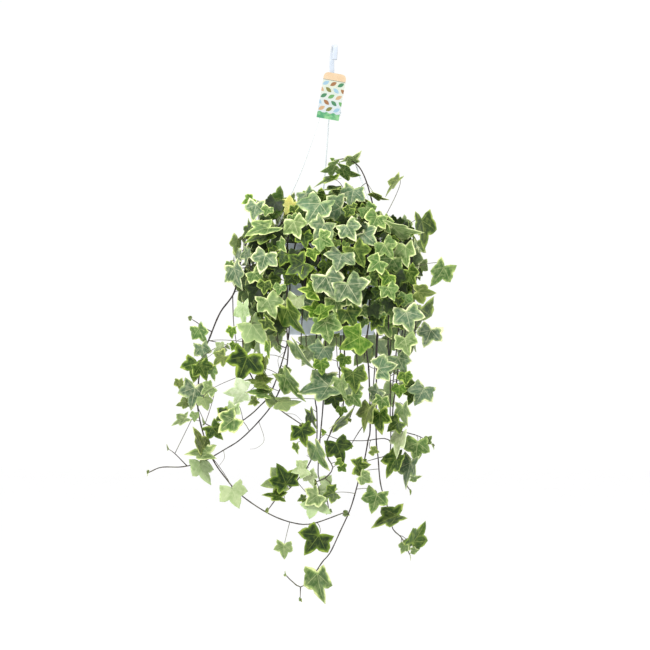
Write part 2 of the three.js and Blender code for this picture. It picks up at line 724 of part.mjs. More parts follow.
function backRun(azimuth, reach, tipHeight, turn) {
  const points = [];
  const falls = 4;
  points.push(roundPot(azimuth + 0.1 * turn, (RIM_CROSSING + reach) / 2 + 3, RIM.top - 4));
  for (let i = 0; i <= falls; i += 1) {
    const t = i / falls;
    const z = RIM.top - 28 + (tipHeight - RIM.top + 28) * t;
    points.push(roundPot(azimuth + turn * (0.2 + 0.8 * t), reach - 12 * t * t, z));
  }
  return points;
}

// A stem is a list of runs, the first rooted in the soil and the rest starting on it
function stemOf(name, points, twigs) {
  const runs = [runOf(points, STEM_RADIUS)];
  for (const twig of twigs) {
    const { point } = nearestOn(runs[0], twig[0]);
    runs.push(runOf([point, ...twig.slice(1)], TWIG_RADIUS));
  }
  return { name, runs, solids: runs.map((run) => run.solid), leaves: [] };
}

function runOf(points, radius) {
  const curve = new THREE.CatmullRomCurve3(points, false, 'catmullrom');
  const steps = Math.max(2, Math.round(curve.getLength() / STEM_STEP));
  return { centres: curve.getSpacedPoints(steps), solid: solidOf(tube(curve, 3, radius, steps)) };
}

// The nearest point of a run to a place, leaving out what stands inside the pot
function nearestOn(run, place, above = -Infinity) {
  let best = { distance: Infinity };
  for (let i = 1; i < run.centres.length; i += 1) {
    const point = v3();
    new THREE.Line3(run.centres[i - 1], run.centres[i]).closestPointToPoint(place, true, point);
    const distance = point.distanceTo(place);
    const beside = point.z < above && point.z > SAUCER.base;
    const inPot = beside && Math.hypot(point.x, point.y) < RIM_CROSSING;
    if (distance < best.distance && !inPot) best = { distance, point };
  }
  return best;
}

const stems = [];
for (const [name, { azimuth, root, arch, run, twigs }] of Object.entries(FRONT_STEMS)) {
  const points = [...rise(azimuth, root, arch), ...run.map(frontPoint)];
  stems.push(stemOf(name, points, twigs.map((twig) => twig.map(frontPoint))));
}
for (const [name, points] of Object.entries(CROWN_SHOOTS)) {
  stems.push(stemOf(name, points.map(([x, y, z]) => v3(x, y, z)), []));
}
BACK_STEMS.forEach(([azimuth, root, arch, reach, tipHeight, turn], i) => {
  const points = [...rise(azimuth, root, arch), ...backRun(azimuth, reach, tipHeight, turn)];
  stems.push(stemOf(`ivy_back_${String(i + 1).padStart(2, '0')}`, points, []));
});

// Leaves

// Outline of a leaf from its stalk, as [degrees from the tip, reach] for a tip reach of 1, up one side
const LOBES_5 = [[0, 1], [30, 0.54], [59, 0.8], [90, 0.52], [122, 0.48]];
const LOBES_3 = [[0, 1], [33, 0.56], [64, 0.74], [120, 0.43]];
const BUD = [[0, 1], [50, 0.5], [120, 0.4]];
const LARGE = 21; // least reach of a leaf with five lobes
const SMALL = 8.5; // least reach of a leaf with three
const DROOP = 0.16;
const FOLD = 0.14;

// Height of the blade over its own plane, at x across and y along the midrib, in parts of the reach
const bladeHeight = (x, y) => FOLD * Math.abs(x) - DROOP * y * Math.abs(y);

function outlineOf({ reach, plain }) {
  const half = reach < SMALL ? BUD : reach < LARGE || plain ? LOBES_3 : LOBES_5;
  const right = half.map(([a, r]) => [r * Math.sin(deg(a)), r * Math.cos(deg(a))]);
  const left = right.slice(1).map(([x, y]) => [-x, y]);
  return [...left.reverse(), ...right];
}

// The stalk's course from the stem, behind the blade, to the notch at the blade's base
function stalkPath({ base, along, face, reach, plain }, start) {
  const bend = Math.min(14, 0.35 * start.distanceTo(base));
  const control = base.clone().addScaledVector(along, -bend).addScaledVector(face, -0.5 * bend);
  const curve = new THREE.QuadraticBezierCurve3(start, control, base);
  return reach < LARGE || plain ? [start, base] : [start, curve.getPoint(0.5), base];
}

// A blade and its three-sided stalk as one closed surface. Two corners of the stalk run into the
// blade's upper face and one into its underside.
function leafSolid(leaf, start, swell = 0) {
  const { base, along, face, reach } = leaf;
  const across = along.clone().cross(face);
  const half = BLADE / 2 + swell;
  const radius = STALK_RADIUS + swell;
  const corners = [];
  const triangles = [];
  const path = stalkPath(leaf, start);
  const frame = { ahead: along.clone(), side: across.clone(), up: face.clone() };
  const rings = [];
  for (let i = path.length - 1; i >= 0; i -= 1) {
    const before = path[Math.max(i - 1, 0)];
    const after = path[Math.min(i + 1, path.length - 1)];
    const ahead = after.clone().sub(before).normalize();
    if (i < path.length - 1) {
      const swing = new THREE.Quaternion().setFromUnitVectors(frame.ahead, ahead);
      frame.side.applyQuaternion(swing);
      frame.up.applyQuaternion(swing);
      frame.ahead.copy(ahead);
    }
    const top = i < path.length - 1 ? 0.5 * radius : half;
    const under = i < path.length - 1 ? radius : half;
    rings.push(corners.length);
    for (const [x, y] of [[-0.87 * radius, top], [0.87 * radius, top], [0, -under]]) {
      corners.push(path[i].clone().addScaledVector(frame.side, x).addScaledVector(frame.up, y));
    }
  }
  for (let i = 1; i < rings.length; i += 1) {
    for (let k = 0; k < 3; k += 1) {
      const next = (k + 1) % 3;
      const [a, b] = [rings[i - 1] + k, rings[i - 1] + next];
      const [c, d] = [rings[i] + k, rings[i] + next];
      triangles.push([a, c, d], [a, d, b]);
    }
  }
  const last = rings[rings.length - 1];
  triangles.push([last, last + 2, last + 1]);
  const outline = outlineOf(leaf);
  const n = outline.length;
  const upper = corners.length;
  const lower = upper + n;
  for (const side of [half, -half]) {
    for (const [x, y] of outline) {
      const corner = base.clone().addScaledVector(across, x * reach).addScaledVector(along, y * reach);
      corners.push(corner.addScaledVector(face, bladeHeight(x, y) * reach + side));
    }
  }
  const middle = (n - 1) / 2;
  const [left, right, under] = [0, 1, 2];
  for (let i = 0; i < n - 1; i += 1) {
    triangles.push([i < middle ? left : right, upper + i + 1, upper + i]);
    triangles.push([under, lower + i, lower + i + 1]);
    triangles.push([upper + i, upper + i + 1, lower + i + 1], [upper + i, lower + i + 1, lower + i]);
  }
  triangles.push([left, right, upper + middle]);
  triangles.push([left, upper, lower], [left, lower, under]);
  triangles.push([upper + n - 1, right, under], [upper + n - 1, under, lower + n - 1]);
  const geometry = new THREE.BufferGeometry().setFromPoints(corners);
  geometry.setIndex(triangles.flat());
  return solidOf(geometry);
}

// A leaf of the front view, or a copy of it turned about the pot
function leafOf([x, z, tipX, tipZ, pitch, roll, layer], turn = 0, size = 1) {
  const flat = Math.hypot(tipX - x, tipZ - z);
  const lean = deg(pitch);
  const along = v3(
    ((tipX - x) / flat) * Math.cos(lean),
    -Math.sin(lean),
    ((tipZ - z) / flat) * Math.cos(lean),
  );
  const face = v3(0, -1, 0);
  face.addScaledVector(along, -face.dot(along)).normalize();
  face.applyAxisAngle(along, deg(roll));
  const base = v3(x, -frontDepth(x, z) + LAYER * layer, z);
  const up = v3(0, 0, 1);
  const view = v3(0, 1, 0).applyAxisAngle(up, deg(turn));
  for (const vector of [along, face, base]) vector.applyAxisAngle(up, deg(turn));
  return { base, along, face, view, reach: (size * flat) / Math.cos(lean), plain: turn !== 0 };
}

const SHIFTS = [0, -6, 6, -12, 12, -18, 18, 26]; // tried along the view, to come clear of other pieces
const NEAREST_STEMS = 4;
const CLEARANCE = 0.4;

const overlapping = (a, b) => [0, 1, 2].every((i) => a.min[i] <= b.max[i] && b.min[i] <= a.max[i]);

const placed = [];
function place(owner, solid, kind) {
  placed.push({ owner, solid, kind, box: solid.boundingBox() });
}

function isClear(solid, owner, strict) {
  const box = solid.boundingBox();
  return placed.every((other) => {
    if (other.owner === owner && (!strict || other.kind === 'stem')) return true;
    return !overlapping(box, other.box) || solid.intersect(other.solid).isEmpty();
  });
}

// Whether the stalk keeps behind its own blade
function stalkIsBehind({ base, along, face, reach }, start) {
  const away = start.clone().sub(base);
  const flat = away.clone().addScaledVector(face, -away.dot(face));
  return away.dot(face) < 0.2 * reach || flat.dot(along) < -0.3 * flat.length();
}

function growLeaf(leaf) {
  for (const strict of leaf.plain ? [true] : [true, false]) {
    for (const shift of SHIFTS) {
      const moved = { ...leaf, base: leaf.base.clone().addScaledVector(leaf.view, shift) };
      const nearest = stems
        .flatMap((stem) => stem.runs.map((run) => ({ stem, ...nearestOn(run, moved.base, RIM.top) })))
        .sort((a, b) => a.distance - b.distance)
        .filter((a, i, all) => all.findIndex((b) => b.stem === a.stem) === i)
        .slice(0, NEAREST_STEMS);
      for (const { stem, point, distance } of nearest) {
        if (distance > LONGEST_STALK || distance < 4 || !stalkIsBehind(moved, point)) continue;
        if (!isClear(leafSolid(moved, point, CLEARANCE), stem, strict)) continue;
        const solid = leafSolid(moved, point);
        stem.leaves.push(solid);
        place(stem, solid, 'leaf');
        return true;
      }
    }
  }
  return false;
}

const holder = [
  ['hanger_hook', hookGeometry(), 0xe8edf0, 0.35],
  ['hanger_strand_left', strandGeometry(STRAND_AZIMUTHS.left), 0xf0f2f2, 0.35],
  ['hanger_strand_right', strandGeometry(STRAND_AZIMUTHS.right), 0xf0f2f2, 0.35],
  ['hanger_strand_back', strandGeometry(STRAND_AZIMUTHS.back), 0xf0f2f2, 0.35],
  ['care_tag', tagGeometry(), 0xdfe8d2, 0.45],
  ['pot', potGeometry(), 0xd9dfe4, 0.45],
  ['saucer', saucerGeometry(), 0xc3cad2, 0.45],
  ['potting_soil', soilGeometry(stems.map((stem) => stem.runs[0].centres)), 0x2e241b, 0.95],
];
for (const [name, geometry, color, roughness] of holder) {
  addPiece(name, geometry, color, roughness);
  place(name, solidOf(geometry), 'holder');
}
for (const stem of stems) for (const solid of stem.solids) place(stem, solid, 'stem');

// Every second leaf of the crown comes again at the other two thirds of the way round
const CROWN_TURNS = [{ turn: 120, size: 1.06 }, { turn: -120, size: 0.98 }];
const LEAST_COPY = 29; // reach of the smallest leaf that is repeated
const CROWN_HALF = 100; // half width of the part of the crown that is repeated

// How far the plant reaches to the left and right of the pot's axis at some heights, in the front
// view, without the leaves that stand out singly
const REACHES = [
  [-216, -30, 40],
  [-232, -112, 62],
  [-247, -122, 68],
  [-262, -132, 116],
  [-292, -148, 146],
  [-352, -160, 168],
  [-400, -150, 136],
  [-460, -140, 132],
  [-700, -120, 120],
];

function isWithinReach({ x, z }) {
  if (z >= REACHES[0][0]) return false;
  const i = Math.max(1, REACHES.findIndex((row) => row[0] <= z));
  const [za, la, ra] = REACHES[i - 1];
  const [zb, lb, rb] = REACHES[i];
  const t = (z - za) / (zb - za);
  return x > la + (lb - la) * t && x < ra + (rb - ra) * t;
}

function leafIsWithinReach({ base, along, reach }) {
  return isWithinReach(base) && isWithinReach(base.clone().addScaledVector(along, reach));
}

for (const row of [...CROWN_LEAVES, ...LEFT_LEAVES, ...RIGHT_LEAVES]) growLeaf(leafOf(row));
for (const { turn, size } of CROWN_TURNS) {
  for (const row of CROWN_LEAVES.filter(([x]) => Math.abs(x) < CROWN_HALF)) {
    const leaf = leafOf(row, turn, size);
    if (leaf.reach > LEAST_COPY && leafIsWithinReach(leaf)) growLeaf(leaf);
  }
}

// Along the trailing stems at the sides and back, a leaf hangs to one side and to the other by turns
function trailingLeaf(stem, part, side, reach) {
  const { centres } = stem.runs[0];
  const foot = centres[Math.round(part * (centres.length - 1))];
  const out = v3(foot.x, foot.y, 0).normalize();
  const beside = out.clone().cross(v3(0, 0, 1)).multiplyScalar(side);
  const along = v3(0, 0, -1).addScaledVector(beside, 0.6).addScaledVector(out, 0.3).normalize();
  const face = out.clone().addScaledVector(along, -out.dot(along)).normalize();
  const base = foot.clone().addScaledVector(out, 13).addScaledVector(beside, 11);
  return { base, along, face, view: out.clone().negate(), reach, plain: true };
}
const TRAILING = [[0.72, 1, 36], [0.95, -1, 31]];
for (const stem of stems.filter(({ name }) => name.startsWith('ivy_back'))) {
  const turned = Number(stem.name.slice(-2)) % 2 === 0 ? -1 : 1;
  for (const [part, side, reach] of TRAILING) {
    const leaf = trailingLeaf(stem, part, side * turned, reach);
    if (leafIsWithinReach(leaf)) growLeaf(leaf);
  }
}

for (const stem of stems) {
  const solid = outerBody(join([...stem.solids, ...stem.leaves]));
  addPiece(stem.name, geometryOf(solid), 0x5f8f4e, 0.6);
}
export default model;
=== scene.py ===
# A hanging pot of variegated ivy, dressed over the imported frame.
# Lengths are in millimetres until a mesh is made. +Z is up, and the front is towards -Y.
import math
import random

import bpy
import numpy as np
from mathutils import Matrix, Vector
from mathutils.kdtree import KDTree


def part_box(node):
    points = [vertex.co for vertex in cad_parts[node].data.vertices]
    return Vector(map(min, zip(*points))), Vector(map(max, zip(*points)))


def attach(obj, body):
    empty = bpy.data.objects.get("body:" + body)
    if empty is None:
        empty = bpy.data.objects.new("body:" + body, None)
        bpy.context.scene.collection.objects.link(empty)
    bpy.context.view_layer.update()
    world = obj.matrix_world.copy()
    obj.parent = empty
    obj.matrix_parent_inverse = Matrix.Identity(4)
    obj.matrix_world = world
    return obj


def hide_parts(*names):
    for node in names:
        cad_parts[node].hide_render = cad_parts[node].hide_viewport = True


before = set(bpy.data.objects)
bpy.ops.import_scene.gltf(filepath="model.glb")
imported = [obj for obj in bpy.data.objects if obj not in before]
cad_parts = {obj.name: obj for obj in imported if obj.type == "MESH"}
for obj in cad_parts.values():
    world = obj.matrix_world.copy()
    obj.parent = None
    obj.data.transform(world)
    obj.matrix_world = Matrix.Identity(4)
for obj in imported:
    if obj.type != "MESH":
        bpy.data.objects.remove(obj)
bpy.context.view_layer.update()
rng = random.Random(12)
draw = rng.uniform

MM = 0.001
UP = np.array([0.0, 0.0, 1.0])
BACK = np.array([0.0, 1.0, 0.0])

# Driving dimensions of the holder
GAP = 0.35  # between pieces that touch
HOOK_BORE = 13
HOOK_THICKNESS = 3.2
HOOK_WIDTH = 7
HOOK_TWIST = 8
HOOK_LEAN = 0.1
HUB_RADIUS = 6.5
HUB_TOP = -46
POT_AXIS = np.array([HOOK_LEAN * HUB_TOP, 0, 0])  # from the seat of the hook
HUB_BOTTOM = -59
STRAND_RADIUS = 1.1
STRAND_AZIMUTHS = {"left": -84, "right": 60, "back": 192}
STRAND_BOW = [(0.22, 109), (0.5, 180), (0.75, 231), (0.96, 279), (1, 292), (1, 304)]
TAG_LEAN = 10
RIM_TOP = -297
RIM_RADIUS = 84.6
RIM_LIP = 13
RIM_WALL = 2.4
POT_BASE = -432.6
POT_BASE_RADIUS = 62
POT_TOP_RADIUS = 69.5
POT_WALL = 1.8
SAUCER_BASE = -435
SAUCER_TOP = -411
SAUCER_RADIUS = 65.8
SAUCER_WALL = 1.6
TURN_STEPS = 128  # corners round the pot and the saucer
SOIL_TOP = -309
SOIL_CRUMBS = 260

# Driving dimensions of the plant
STEM_RADIUS = 1.35
TWIG_RADIUS = 0.85
STALK_RADIUS = 0.55
TENDRIL_RADIUS = 0.4
STEM_STEP = 7
CURVE_PARTS = 12
ROOT_DEPTH = 14
RIM_CROSSING = 90
STEM_INSET = 16
LAYER = 11
FOLD = 0.14
DROOP = 0.16
LARGE = 21  # least reach of a leaf with five lobes
SMALL = 8.5  # least reach of a leaf with three
BLADE = 0.55

# Half width and half depth of the whole plant at some heights
OUTLINE_HEIGHTS = [-165, -200, -230, -262, -300, -360, -430, -500, -560, -640, -720, -840]
OUTLINE_WIDTHS = [60, 90, 125, 155, 166, 172, 190, 218, 232, 290, 160, 90]
OUTLINE_DEPTHS = [26, 55, 88, 112, 124, 130, 124, 114, 106, 94, 82, 64]

# How far the plant reaches to the left and right of the pot's axis at some heights, in the front
# view, without the leaves that stand out singly
REACH_HEIGHTS = [-216, -232, -247, -262, -292, -352, -400, -460, -700]
REACH_LEFT = [-30, -112, -122, -132, -148, -160, -150, -140, -120]
REACH_RIGHT = [40, 62, 68, 116, 146, 168, 136, 132, 120]

# The kinds of leaf: the colours of the body and of the margin, in sRGB
BLUE = (89, 114, 83), (230, 230, 182)
GREEN = (84, 118, 56), (220, 226, 158)
# DARK and FOREST are dark greens of real leaves, painted darker still as painted shade for leaves that
# lie in shadow.
DARK = (48, 76, 16), (174, 188, 98)
FOREST = (28, 54, 8), (140, 160, 62)
# The next kind is painted shade: near-black greens for leaves deep inside the plant, where shade falls.
DEEP_SHADE = (24, 40, 10), (74, 92, 34)
LIME = (66, 104, 18), (200, 214, 112)
PALE = (116, 140, 84), (218, 224, 166)
# The next kind is a leaf's paler underside, painted paler still as painted light: the glow of light
# shining through the leaf.
BACKLIT = (170, 186, 136), (220, 228, 184)
FROST = (210, 222, 188), (234, 240, 212)
CREAM = (196, 188, 96), (236, 226, 150)
OLIVE = (94, 112, 50), (190, 196, 118)
MIXED = [GREEN, BLUE, DARK, FOREST, PALE]
BODY_LIGHT = 0.88  # of the body colours, under this studio's light
TONES = (0.88, 1.1)  # from leaf to leaf
SHADE_HEIGHTS = [-620, -300]  # the leaves grow lighter between these heights
SHADES = [0.84, 1.08]

# Each stem at the front: azimuth, root radius, arch over the rim, layer inwards, its run as places
# (x, z) of the front view, or (x, z, layer) where that differs, and then its twigs
FRONT_STEMS = {
    "ivy_left_loop": (-92, 52, 24, 2, [
        (-122, -288), (-137, -325), (-146, -370), (-167, -400), (-181, -432), (-196, -475),
        (-202, -534), (-194, -580), (-179, -621), (-160, -649), (-137, -675), (-95, -703, 1),
        (-58, -717, 1), (-28, -718, 1), (18, -702, 1),
    ], [
        (-150, -376), (-147, -417, 1), (-142, -452, 1),
    ], [
        (-181, -432), (-192, -424, 1), (-203, -416, 1), (-211, -411, 1),
    ], [
        (-185, -443), (-172, -446), (-158, -450),
    ]),
    "ivy_left_shoulder": (-69, 40, 38, 1.5, [
        (-106, -276), (-126, -305), (-118, -345), (-108, -390), (-104, -440),
    ]),
    "ivy_left_crossing": (-57, 55, 16, -0.6, [
        (-96, -325, 1), (-125, -390, 0.5), (-133, -450, 0), (-121, -495, 0), (-94, -531),
        (-74, -549), (-46, -568),
    ]),
    "ivy_far_left": (-45, 46, 26, 0, [
        (-67, -325, 1.5), (-67, -357, 1), (-67, -420, 1), (-65, -459, 1), (-70, -496, 1),
        (-86, -534, 0.5), (-107, -562, 0.5), (-136, -591, 0.5), (-161, -607), (-193, -625),
        (-224, -633), (-256, -634), (-275, -642),
    ], [
        (-215, -630), (-236, -613), (-245, -607),
    ]),
    "ivy_left_inner": (-34, 55, 18, 2.6, [
        (-60, -330), (-63, -380), (-64, -433), (-69, -457), (-83, -502), (-95, -528), (-107, -541),
        (-122, -555, 2), (-143, -568, 1.5), (-176, -573, 1), (-190, -568, 1),
    ], [
        (-69, -456), (-79, -449), (-84, -436),
    ]),
    "ivy_front_left": (-23, 42, 30, 0.8, [
        (-38, -325), (-42, -370), (-44, -410, 1), (-46, -450, 1),
    ]),
    "ivy_front_long": (-12, 56, 20, 0.6, [
        (-20, -330, 1), (-22, -420, 1), (-25, -520, 1), (-22, -549, 1), (-22, -591, 1), (-25, -609),
        (-37, -634), (-51, -652), (-64, -666), (-79, -676), (-95, -697),
    ]),
    "ivy_front_inner": (-2, 44, 32, 2, [
        (-6, -330, 2.3), (-8, -420, 2.3), (-11, -500, 2.3), (-13, -544, 2.3), (-18, -600),
        (-20, -633), (-19, -649), (-8, -678), (-4, -697),
    ]),
    "ivy_front_right": (9, 56, 18, 1.2, [
        (15, -330), (18, -420), (20, -500), (16, -550), (7, -564, 0.4), (-2, -583, 0),
        (-9, -600, -0.4), (-6, -618, -0.4), (2, -634, -0.2), (-8, -648, -0.2), (-23, -655, -0.2),
    ], [
        (20, -492), (10, -484, 0.2), (8, -460, 0), (7, -438, 0),
    ]),
    "ivy_front_short": (20, 43, 34, 1, [
        (30, -325), (33, -370, 1.4), (35, -420, 1.6), (38, -470, 1.2), (40, -520, 0.8),
        (27, -560, 0.6),
    ]),
    "ivy_right_long": (31, 56, 20, 1, [
        (54, -330), (57, -400), (52, -450), (56, -490), (58, -573), (55, -592), (49, -624),
        (41, -652), (29, -694), (13, -730), (-2, -762), (-13, -775), (-31, -801), (-46, -814),
        (-60, -805), (-68, -797),
    ], [
        (52, -558), (41, -580, 0.5), (29, -600, 0.5),
    ], [
        (-46, -814), (-47, -831),
    ]),
    "ivy_right_inner": (49, 44, 28, 2.2, [
        (68, -330), (70, -380), (70, -427), (68, -463), (67, -583), (70, -619), (74, -660),
        (85, -696, 2), (92, -726, 2), (106, -741, 2), (118, -766, 2),
    ]),
    "ivy_right_crossing": (66, 56, 18, 1, [
        (86, -330, 1.5), (86, -400, 1.5), (85, -448, 1.5), (88, -501), (88, -552), (89, -589),
        (88, -615),
    ], [
        (89, -592), (80, -590, 0.4), (66, -591, 0), (52, -593, -0.2), (32, -593, -0.4),
        (11, -591, -0.9), (-10, -583, -1.2),
    ], [
        (88, -612), (71, -619, 0.3), (53, -624, 0),
    ]),
    "ivy_right_outer": (76, 46, 30, 2, [
        (102, -330), (108, -400), (104, -450, 2.4), (100, -486, 2.4), (97, -511, 2.4),
        (92, -549, 2.8), (94, -580, 2.6), (98, -609), (106, -632), (113, -660), (118, -668),
    ], [
        (94, -574, 2.6), (107, -580), (134, -588), (151, -600),
    ]),
    "ivy_right_shoulder": (87, 55, 34, 1, [
        (116, -290, 1.2), (122, -367), (127, -400), (126, -424), (125, -438),
    ]),
}

# The upright shoots of the crown, as points in space
CROWN_SHOOTS = {
    "ivy_top_runner": [
        (30, 14, -323), (30, 14, -303), (34, 14, -290), (56, 8, -266), (63, -6, -247),
        (58, -18, -222), (49, -33, -195), (38, -34, -178), (22, -32, -170), (4, -28, -172),
    ],
    "ivy_top_right": [
        (8, -2, -323), (8, -2, -303), (9, -6, -280), (12, -26, -245), (17, -42, -222),
        (30, -54, -216),
    ],
    "ivy_top_left": [
        (-14, -6, -323), (-14, -6, -303), (-14, -10, -280), (-12, -30, -245), (-12, -44, -228),
        (-24, -62, -226),
    ],
}

# The stems at the sides and back: azimuth, root radius, arch, reach, height of the tip, turn
BACK_STEMS = [
    (98, 44, 24, 122, -452, 4), (111, 55, 34, 114, -520, 5), (125, 42, 22, 120, -488, 3),
    (139, 55, 32, 114, -540, 4), (151, 43, 20, 122, -470, 2), (170, 54, 30, 116, -530, 4),
    (184, 42, 22, 120, -470, 5), (199, 55, 34, 114, -452, 3), (214, 43, 24, 120, -444, 4),
    (229, 55, 30, 114, -450, 3), (243, 42, 22, 120, -440, 4), (256, 55, 34, 114, -455, -3),
]

# The leaves of the front view: stalk end x and z, blade tip x and z, pitch, roll, kind, and the
# layer where it is not the outermost
CROWN_LEAVES = [
    (24, -173, 47, -162, 20, 66, PALE), (5, -180, -15, -192, 20, -58, PALE),
    (16, -185, 42, -199, 10, 62, GREEN, 1), (4, -201, -28, -208, 0, 77, DARK),
    (7, -216, -20, -216, 0, 79, DARK), (33, -218, 27, -245, 15, 0, BLUE),
    (16, -221, 2, -236, 10, 10, GREEN, 1), (100, -201, 78, -224, 0, 73, OLIVE),
    (64, -223, 85, -236, 0, 75, OLIVE), (40, -231, 60, -248, 0, 60, DARK, 2),
    (-113, -239, -120, -265, 10, 35, BLUE), (-120, -230, -136, -236, 10, 40, LIME),
    (-73, -230, -92, -265, 15, -40, GREEN, 6), (-58, -236, -73, -254, 20, 30, CREAM, 6),
    (-39, -223, -30, -245, 20, 22, BLUE), (-56, -265, -49, -292, 20, 30, PALE),
    (-17, -238, -40, -268, 25, 32, BLUE), (14, -244, -17, -258, 15, -15, BLUE, 1),
    (68, -258, 57, -281, 20, -10, GREEN), (77, -265, 87, -284, 20, 20, GREEN, 1),
    (93, -273, 137, -287, 10, 72, PALE), (118, -281, 118, -263, 0, 65, DARK, 1),
    (136, -263, 144, -307, 0, -58, DARK), (23, -272, 37, -295, 10, 0, BLUE),
    (48, -283, 69, -301, 15, 0, BLUE, 1), (79, -299, 93, -322, 10, 0, GREEN),
    (-96, -283, -132, -293, 0, 55, DARK, 1), (-94, -274, -130, -282, 20, 62, GREEN),
    (-141, -292, -148, -316, 0, 122, OLIVE), (-11, -269, -26, -295, 10, -10, BLUE),
    (-17, -290, 4, -302, 15, 0, GREEN), (-28, -308, -25, -325, 10, 0, LIME),
    (34, -306, 50, -333, 10, -20, DARK, 1), (15, -315, 8, -338, 45, 0, BLUE),
    (111, -303, 111, -335, 10, 45, PALE), (-99, -315, -107, -344, 10, 0, BLUE),
    (-42, -328, -70, -343, 10, 20, FOREST, 1), (-8, -348, 6, -382, 12, 0, BLUE),
    (71, -325, 53, -341, 10, 0, GREEN), (86, -346, 75, -363, 10, 0, LIME),
    (169, -333, 152, -364, 0, -42, GREEN), (115, -339, 125, -363, 10, 30, DARK),
    (129, -370, 157, -375, 0, 42, OLIVE), (-146, -335, -138, -369, 10, 52, BLUE),
    (-153, -326, -152, -338, 0, 30, GREEN), (-116, -341, -102, -358, 10, 0, GREEN, 1),
    (-58, -346, -72, -361, 0, 0, FOREST, 2), (24, -359, 44, -392, 12, 0, BLUE),
    (-25, -372, -50, -364, 10, 42, LIME), (84, -364, 94, -384, 10, 0, GREEN),
    (-96, -382, -82, -410, 15, -25, PALE), (-52, -381, -62, -410, 10, 45, BACKLIT, 2),
    (-42, -383, -39, -415, 0, 25, BLUE, 4), (-20, -400, -45, -391, 10, 45, LIME),
    (-17, -404, 3, -389, 10, -50, LIME), (-132, -392, -133, -424, 0, 58, BACKLIT, 1),
    (112, -400, 120, -434, 10, 0, BLUE), (-66, -396, -45, -438, 0, 58, DARK),
    (23, -399, 37, -424, 15, 0, DARK, 1), (-9, -415, -3, -448, 10, 0, GREEN),
    (-98, -414, -83, -432, 0, 55, DARK), (-119, -419, -97, -452, 0, 158, PALE, 1),
    (110, -441, 116, -467, 10, 0, PALE), (149, -427, 139, -455, 0, -10, BLUE),
    (42, -438, 11, -456, 10, 0, LIME), (-12, -454, -26, -479, 10, 0, BLUE, 1),
    (-16, -475, -14, -495, 10, 0, LIME),
]
LEFT_LEAVES = [
    (-200, -425, -190, -450, 0, 45, GREEN), (-195, -452, -189, -478, 0, 42, BLUE),
    (-163, -454, -180, -462, 0, 150, BACKLIT, 1), (-161, -467, -180, -480, 0, 40, OLIVE),
    (-149, -425, -151, -441, 0, 40, LIME), (-145, -448, -150, -459, 0, 0, LIME),
    (-126, -467, -141, -506, 5, 0, FOREST), (-94, -450, -96, -471, 0, 70, LIME),
    (-100, -470, -101, -489, 0, 55, OLIVE, 1), (-54, -450, -32, -489, 0, 76, GREEN),
    (-203, -477, -210, -507, 0, 20, DARK, 1), (-197, -481, -186, -504, 0, -20, DARK),
    (-179, -484, -178, -505, 0, 50, GREEN), (-229, -504, -228, -521, 0, 45, OLIVE),
    (-205, -514, -213, -548, 10, 22, BLUE), (-218, -537, -235, -540, 0, 40, OLIVE, 1),
    (-180, -513, -197, -524, 0, 10, PALE, 1), (-192, -530, -186, -549, 0, 160, OLIVE),
    (-131, -520, -163, -519, 0, 150, FROST), (-98, -523, -127, -517, 0, 60, GREEN),
    (-100, -508, -131, -500, 0, 58, OLIVE, 2), (-103, -489, -93, -509, 0, 72, OLIVE, 1),
    (-91, -528, -76, -550, 0, 118, OLIVE, 1), (-113, -533, -126, -539, 0, 30, OLIVE, 1),
    (-77, -535, -45, -539, 0, 120, OLIVE), (-68, -498, -43, -538, 0, 64, GREEN),
    (-71, -486, -62, -502, 0, 40, PALE, 1), (-45, -575, -38, -603, 5, 0, FOREST),
    (-53, -599, -52, -614, 0, 55, LIME), (-157, -554, -176, -563, 0, 20, FOREST),
    (-146, -561, -172, -580, 0, 30, GREEN, 1), (-179, -573, -164, -594, 0, 30, DARK),
    (-145, -542, -150, -565, 0, 48, BACKLIT, 1), (-220, -561, -242, -569, 0, 58, PALE),
    (-205, -553, -207, -566, 0, 30, PALE), (-194, -603, -204, -571, 0, 62, OLIVE),
    (-185, -612, -221, -609, 0, 58, PALE), (-197, -627, -185, -662, 0, 130, BACKLIT),
    (-149, -666, -139, -696, 0, 170, BACKLIT, 1), (-75, -654, -107, -659, 0, 160, OLIVE, 1),
    (-68, -658, -81, -626, 0, 20, FOREST), (-76, -677, -104, -671, 0, 60, DARK),
    (-40, -635, -61, -640, 0, 20, BACKLIT), (-33, -642, -28, -663, 0, 40, BACKLIT),
    (-21, -675, -41, -690, 0, 10, PALE), (-40, -680, -52, -683, 0, 40, DARK, 1),
    (-27, -683, -1, -704, 0, 165, BACKLIT), (-2, -659, -24, -669, 0, 160, BACKLIT, 1),
]
